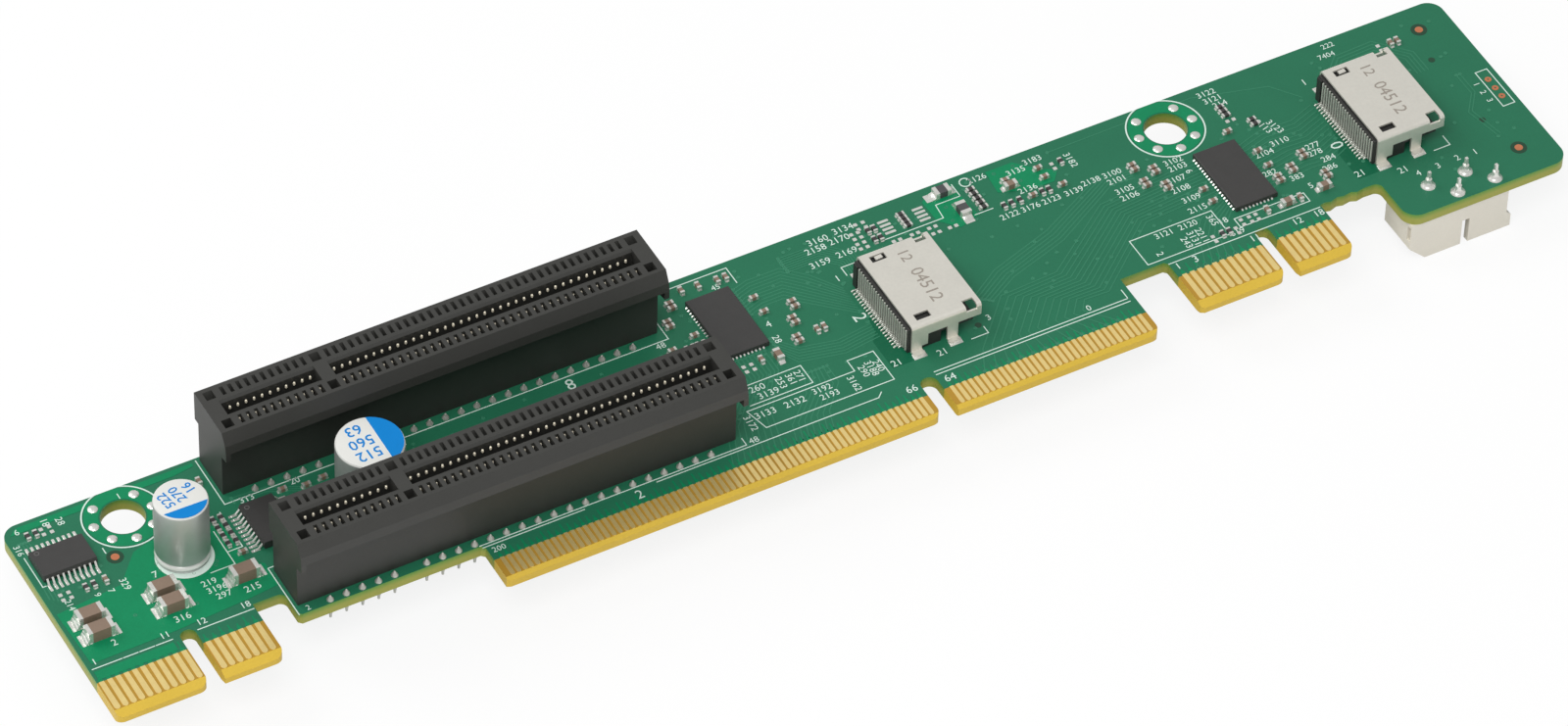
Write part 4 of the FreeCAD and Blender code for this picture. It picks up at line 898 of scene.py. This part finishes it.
shield_metal = mottled("tinned_shield", paint(232, 229, 219), patches=350.0, change=0.1, grain=2600.0,
                       roughness=0.42, metallic=0.6)
port_plastic = mottled("port_nylon", paint(44, 44, 43), patches=600.0, change=0.15, roughness=0.5)
stamp_grey = mottled("stamped_grey", paint(150, 142, 132), roughness=0.6)
port_tin = mottled("port_tin", paint(204, 206, 196), patches=900.0, change=0.2, roughness=0.36, metallic=0.3)
leg_half, leg_pitch, tail_half = 0.085, 0.5, 0.07
reaches = (0.12, 0.62)
port_gap = bmesh.new()
for side in ("left", "right"):
    dress(f"{side}_port_shell", shield_metal)
    dress(f"{side}_port_insulator", port_plastic)
    shell_low, shell_high = box_mm(f"{side}_port_shell")
    block_low, block_high = box_mm(f"{side}_port_insulator")
    face = block_low.x
    leg_top = block_high.z - 0.12
    leg_shape = bmesh.new()
    tail_shape = bmesh.new()
    y = block_low.y + 0.3
    while y < block_high.y - 1.2:
        block(leg_shape, (face - 0.16, y - leg_half, board_top + 0.3), (face + 0.02, y + leg_half, leg_top))
        y += leg_pitch
    tails = sorted(solids_of(f"{side}_port_contacts"), key=lambda box: box[0].y)
    for number, (low, high) in enumerate(tails):
        y = (low.y + high.y) / 2
        foot = face - reaches[number % 2]
        block(leg_shape, (foot - 0.14, y - tail_half, board_top + 0.1),
              (face - 0.02, y + tail_half, board_top + 0.22))
        wedge(tail_shape, 0, foot - 0.12, foot - 0.36, (y - tail_half, y + tail_half), board_top,
              board_top + 0.26, board_top + 0.12)
    finish_piece(f"{side}_port_legs", leg_shape, port_tin)
    finish_piece(f"{side}_port_tails", tail_shape, port_tin, replaces=(f"{side}_port_contacts",))
    shape = bmesh.new()
    block(shape, (face - 0.25, block_high.y - 1.0, board_top + 0.05),
          (face + 0.02, block_high.y - 0.15, leg_top + 0.06))
    finish_piece(f"{side}_port_end_post", shape, port_plastic)
    # The spring in the shield's window, raised at its free end
    shape = bmesh.new()
    spring_y = shell_high.y - 2.2
    spring = block(shape, (shell_low.x + 1.72, spring_y - 0.16, shell_high.z - 0.28),
                   (shell_low.x + 2.6, spring_y + 0.38, shell_high.z - 0.1))
    for corner in spring:
        if corner.co.x > shell_low.x + 2.0:
            corner.co.z += 0.08
    finish_piece(f"{side}_port_spring", shape, shield_metal)
    shape = bmesh.new()
    middle = (shell_low + shell_high) / 2
    for text, shift_y, size in (("04512", -1.1, 2.3), ("12", 4.1, 2.0)):
        digits(shape, text, middle.x + 0.35, middle.y + shift_y, shell_high.z - 0.005, size, -90.0)
    finish_piece(f"{side}_port_stamp", shape, stamp_grey)
    left, right = face - 2.6, face + 1.0
    front, back = block_low.y, block_high.y - 3.6
    plate(port_gap, [(left, front - 1.4), (right, front - 1.4), (right, back), (face - 0.9, back),
                     (face - 1.6, front + 4.6), (left, front + 3.4)], board_top, board_top + 0.006)
    # Solder under the flared legs, front and back
    for away, edge in ((-1, shell_low.y), (1, shell_high.y)):
        for start in (shell_low.x - 0.15, shell_low.x + 4.55):
            wedge(pad_shape, 1, edge - away * 0.5, edge + away * 0.35, (start, start + 1.7), board_top,
                  board_top + 0.2, board_top + 0.05)

gap_mask = mottled("mask_without_copper", paint(14, 96, 66), patches=160.0, roughness=0.4,
                   specular_ior_level=0.25)
finish_piece("mask_beside_ports", port_gap, gap_mask)
upright = [edge for edge in pad_shape.edges if abs(edge.verts[0].co.z - edge.verts[1].co.z) > 0.02]
bmesh.ops.bevel(pad_shape, geom=upright, offset=0.05, segments=1, affect="EDGES", profile=0.5, material=-1)
finish_piece("solder_pads", pad_shape, tin, crease=50.0)

# ------------------------------------------------------------------ power header
# An ivory nylon shroud under the board, with four square pins that come up
# through it and are soldered on the component side.

header_plastic = mottled("header_nylon", paint(226, 221, 208), change=0.06, roughness=0.45)
dress("power_header_housing", header_plastic)
# How wide the pins are, as a share of the source's.
pin_share = 0.55
shape = bmesh.new()
for low, high in solids_of("power_header_pins"):
    inset = (high - low) * (1 - pin_share) / 2
    inset.z = 0.0
    block(shape, low + inset, high - inset)
finish_piece("power_header_pin_metal", shape, tin, replaces=("power_header_pins",))
pin_solder = [(0.92, -0.01), (0.88, 0.08), (0.7, 0.24), (0.5, 0.46), (0.42, 0.8), (0.38, 1.1), (0.0, 1.15)]
dot_piece("power_header_solder", pin_solder, middles("power_header_pins"), board_top, tin, 20)

# ------------------------------------------------------------------ printed legend
# White epoxy ink: part outlines and running numbers, a little worn. The large
# bare area in the middle of the card is left plain.

silk_ink = mottled("white_ink", paint(214, 232, 222), patches=700.0, roughness=0.6)
ink_low = board_top + foil
ink_high = ink_low + 0.015
line_width = 0.12
shape = bmesh.new()
ring_the_holes(shape, 4.6, 4.78, board_top, ink_high, steps=64)
for node, shift_y, inner, outer in (("small_capacitor_can", -0.5, 2.3, 3.36),
                                    ("large_capacitor_can", 0.0, 4.2, 4.36)):
    x, y = middles(node)[0]
    ring(shape, x, y + shift_y, inner, outer, board_top, ink_high, steps=56)
legend_lines = [
    # Boxes round the slots
    [(10.93, 4.0), (10.93, -3.55), (67.3, -3.55), (67.3, 4.0)],
    [(67.3, -15.0), (67.3, -14.5), (10.93, -14.5), (10.93, -22.35)],
    [(33.4, -22.35), (67.3, -22.35), (67.3, -21.2)],
    # Left end
    [(-12.9, -19.2), (-9.3, -19.2)], [(-9.1, -19.2), (-7.3, -19.2)], [(-7.1, -19.2), (-5.3, -19.2)],
    [(-5.1, -19.2), (-3.1, -19.2)], [(0.0, -19.2), (6.9, -19.2)],
    [(8.0, -6.7), (8.0, -12.2), (5.0, -12.2)], [(9.9, -4.4), (9.9, -10.2), (8.0, -10.2)],
    [(-12.5, -0.7), (-12.5, -5.6), (-12.1, -5.6)],
    # Round the left switch chip
    [(71.2, 3.45), (78.55, 3.45), (78.55, 0.8)], [(71.7, -14.2), (78.7, -14.2), (78.7, -17.2), (70.6, -17.2)],
    [(69.8, -17.8), (83.8, -17.8), (83.8, -16.0), (87.2, -16.0), (87.2, -21.0), (70.6, -21.0), (69.8, -17.8)],
    # Above the middle fingers
    [(33.6, -22.75), (46.4, -22.75)], [(55.6, -22.75), (84.2, -22.75), (84.9, -22.1)],
    [(91.8, -22.1), (117.4, -22.1)], [(91.8, -22.6), (117.4, -22.6)], [(117.4, -22.1), (117.4, -20.6)],
    # Back edge
    [(97.1, -0.95), (104.9, -0.95), (105.1, 1.3), (108.4, 1.3)], [(108.4, -2.2), (110.8, -2.2)],
    [(90.4, -4.0), (90.4, -2.6), (96.6, -2.6)], [(108.4, 3.4), (108.4, 1.3)],
    # Right fingers and right switch chip
    [(122.2, -14.2), (133.2, -14.2), (133.2, -18.5), (122.2, -18.5), (122.2, -14.2)],
    [(124.4, -19.5), (144.8, -19.5)],
    [(134.9, -16.6), (144.3, -16.6), (144.3, -18.1), (134.9, -18.1), (134.9, -16.6)],
    # Test pads and right cable port
    [(172.8, -8.7), (174.4, -8.7), (174.4, -15.0), (172.8, -15.0), (172.8, -8.7)],
    [(161.6, -17.6), (163.8, -17.6), (163.8, -16.0)], [(98.2, -19.5), (100.4, -19.5), (100.4, -18.4)],
]
for route in legend_lines:
    strip(shape, route, line_width, ink_low - 0.02, ink_high)
ring(shape, 110.0, 3.0, 0.6, 0.75, ink_low - 0.02, ink_high, steps=24)

# Numbers beside the larger parts, by size and turn: text and place.
legend_numbers = {
    (1.25, 0): [("1", 0.9, 3.0), ("1", -12.2, -18.3), ("11", -3.6, -18.3), ("12", 0.9, -18.3),
        ("18", 6.3, -18.3), ("297", 4.9, -15.8), ("3196", 4.6, -14.6), ("219", 4.2, -13.4),
        ("20", 19.5, -3.9), ("313", 13.5, -3.9), ("231", 32.5, -4.3), ("48", 66.0, -4.2),
        ("48", 68.4, -22.1), ("3192", 79.1, -18.6), ("2193", 79.5, -19.8), ("3", 101.6, -17.4),
        ("0", 112.6, -21.4), ("3183", 118.8, 2.6), ("2126", 111.5, 2.9), ("3135", 116.2, 1.9),
        ("2136", 116.0, -1.3), ("2122", 112.0, -4.1), ("3176", 114.8, -4.1), ("2123", 117.6, -4.1),
        ("3139", 120.6, -4.1), ("2138", 123.2, -3.6), ("3100", 126.0, -3.6), ("2101", 126.0, -4.8),
        ("3102", 133.4, -5.1), ("2103", 133.4, -6.2), ("3122", 142.6, 2.9), ("3121", 142.8, 1.7),
        ("214", 143.2, 0.6), ("3105", 126.0, -6.6), ("2106", 126.0, -7.8), ("3107", 132.2, -7.9),
        ("2108", 131.9, -9.5), ("3109", 132.2, -11.4), ("2115", 132.0, -13.2), ("3121", 126.4, -15.0),
        ("2120", 129.6, -15.0), ("18", 133.6, -16.3), ("319", 134.2, -18.6), ("2104", 143.6, -8.9),
        ("3110", 146.2, -8.0), ("277", 149.3, -10.4), ("278", 149.0, -11.5), ("282", 142.5, -12.0),
        ("383", 145.0, -14.0), ("284", 149.9, -13.0), ("286", 149.3, -14.4), ("5", 145.7, -16.0),
        ("1", 165.8, -20.0), ("2", 163.4, -19.9), ("3", 160.7, -20.0), ("4", 158.0, -20.0),
        ("6", -11.6, 3.2)],
    (1.375, 0): [("2", -9.0, -16.7), ("316", -0.7, -16.8), ("215", 8.2, -16.3), ("7", -0.6, -9.6),
        ("4", 78.6, -6.8), ("260", 72.6, -15.1), ("3139", 73.4, -16.4), ("3133", 71.6, -19.0),
        ("2132", 75.4, -19.0), ("1", 89.2, -4.0), ("21", 88.7, -18.9), ("21", 94.2, -19.8),
        ("3160", 90.1, 2.5), ("2158", 89.2, 1.3), ("3159", 88.6, -0.9), ("2170", 92.4, 1.5),
        ("3134", 93.6, 2.8), ("2169", 92.2, -0.75), ("11", 135.5, -20.4), ("12", 141.3, -20.3),
        ("18", 144.2, -20.3), ("1", 125.2, -20.3), ("1", 153.9, -0.8), ("21", 151.9, -16.9),
        ("21", 156.7, -18.7), ("1", -4.1, -3.8)],
    (1.25, -90): [("329", -4.2, -9.3), ("3172", 69.3, -19.6), ("28", 78.3, -9.3), ("271", 77.8, -15.6),
        ("361", 76.7, -15.6), ("253", 75.4, -15.6), ("3162", 82.8, -19.5), ("290", 84.7, -18.3),
        ("3188", 85.7, -18.3), ("240", 86.6, -18.3), ("3182", 122.8, 0.6), ("6", 134.2, -7.4),
        ("365", 132.5, -15.6), ("243", 128.0, -17.4), ("3131", 129.1, -17.2), ("2211", 130.2, -17.2),
        ("2", 124.3, -17.6), ("18", -8.2, 3.2), ("28", -6.6, 2.6)],
    (1.125, 0): [("1", 11.7, 3.4), ("200", 35.2, -23.6), ("45", 76.0, 1.2), ("222", 159.6, 3.3),
        ("7404", 158.6, 1.9)],
    (1.0625, 0): [("2", 12.3, -21.85)],
    (2.375, 0): [("8", 54.0, -4.9)],
    (1.875, 0): [("2", 53.0, -23.6)],
    (1.5, 0): [("66", 88.2, -23.3), ("64", 93.0, -23.7), ("3", 127.6, -20.2)],
    (2.375, -90): [("2", 88.4, -10.6), ("0", 151.8, -11.6)],
    (1.25, -75): [("2113", 145.8, -5.0), ("3123", 147.0, -5.6)],
    (1.125, -90): [("1", 171.9, -10.4), ("2", 171.9, -11.9), ("3", 171.9, -13.4), ("316", -12.6, 0.6),
        ("214", -11.0, -9.4), ("9", -7.6, -9.4), ("7", -6.0, -9.5)],
}
for (size, turn_by), numbers in legend_numbers.items():
    for text, x, y in numbers:
        digits(shape, text, x, y, ink_low, size, turn_by, ink_high - ink_low)
finish_piece("printed_legend", shape, silk_ink)

# Rings and outlines printed on the underside
shape = bmesh.new()
ring_the_holes(shape, 4.6, 4.75, -foil - 0.015, 0.0, steps=64)
for x, y in middles("capacitor_leads"):
    ring(shape, x, y, 1.2, 1.32, -0.045, 0.0, steps=24)
for route in ([(10.9, 3.6), (10.9, -4.2), (67.3, -4.2), (67.3, 3.6)],
              [(10.9, -14.2), (67.3, -14.2), (67.3, -21.6)], [(-12.9, -19.2), (-3.2, -19.2)],
              [(124.4, -19.5), (134.6, -19.5)], [(34.0, -23.4), (90.0, -23.4)]):
    strip(shape, route, line_width, 0.0, -foil - 0.012)
finish_piece("underside_legend", shape, silk_ink)
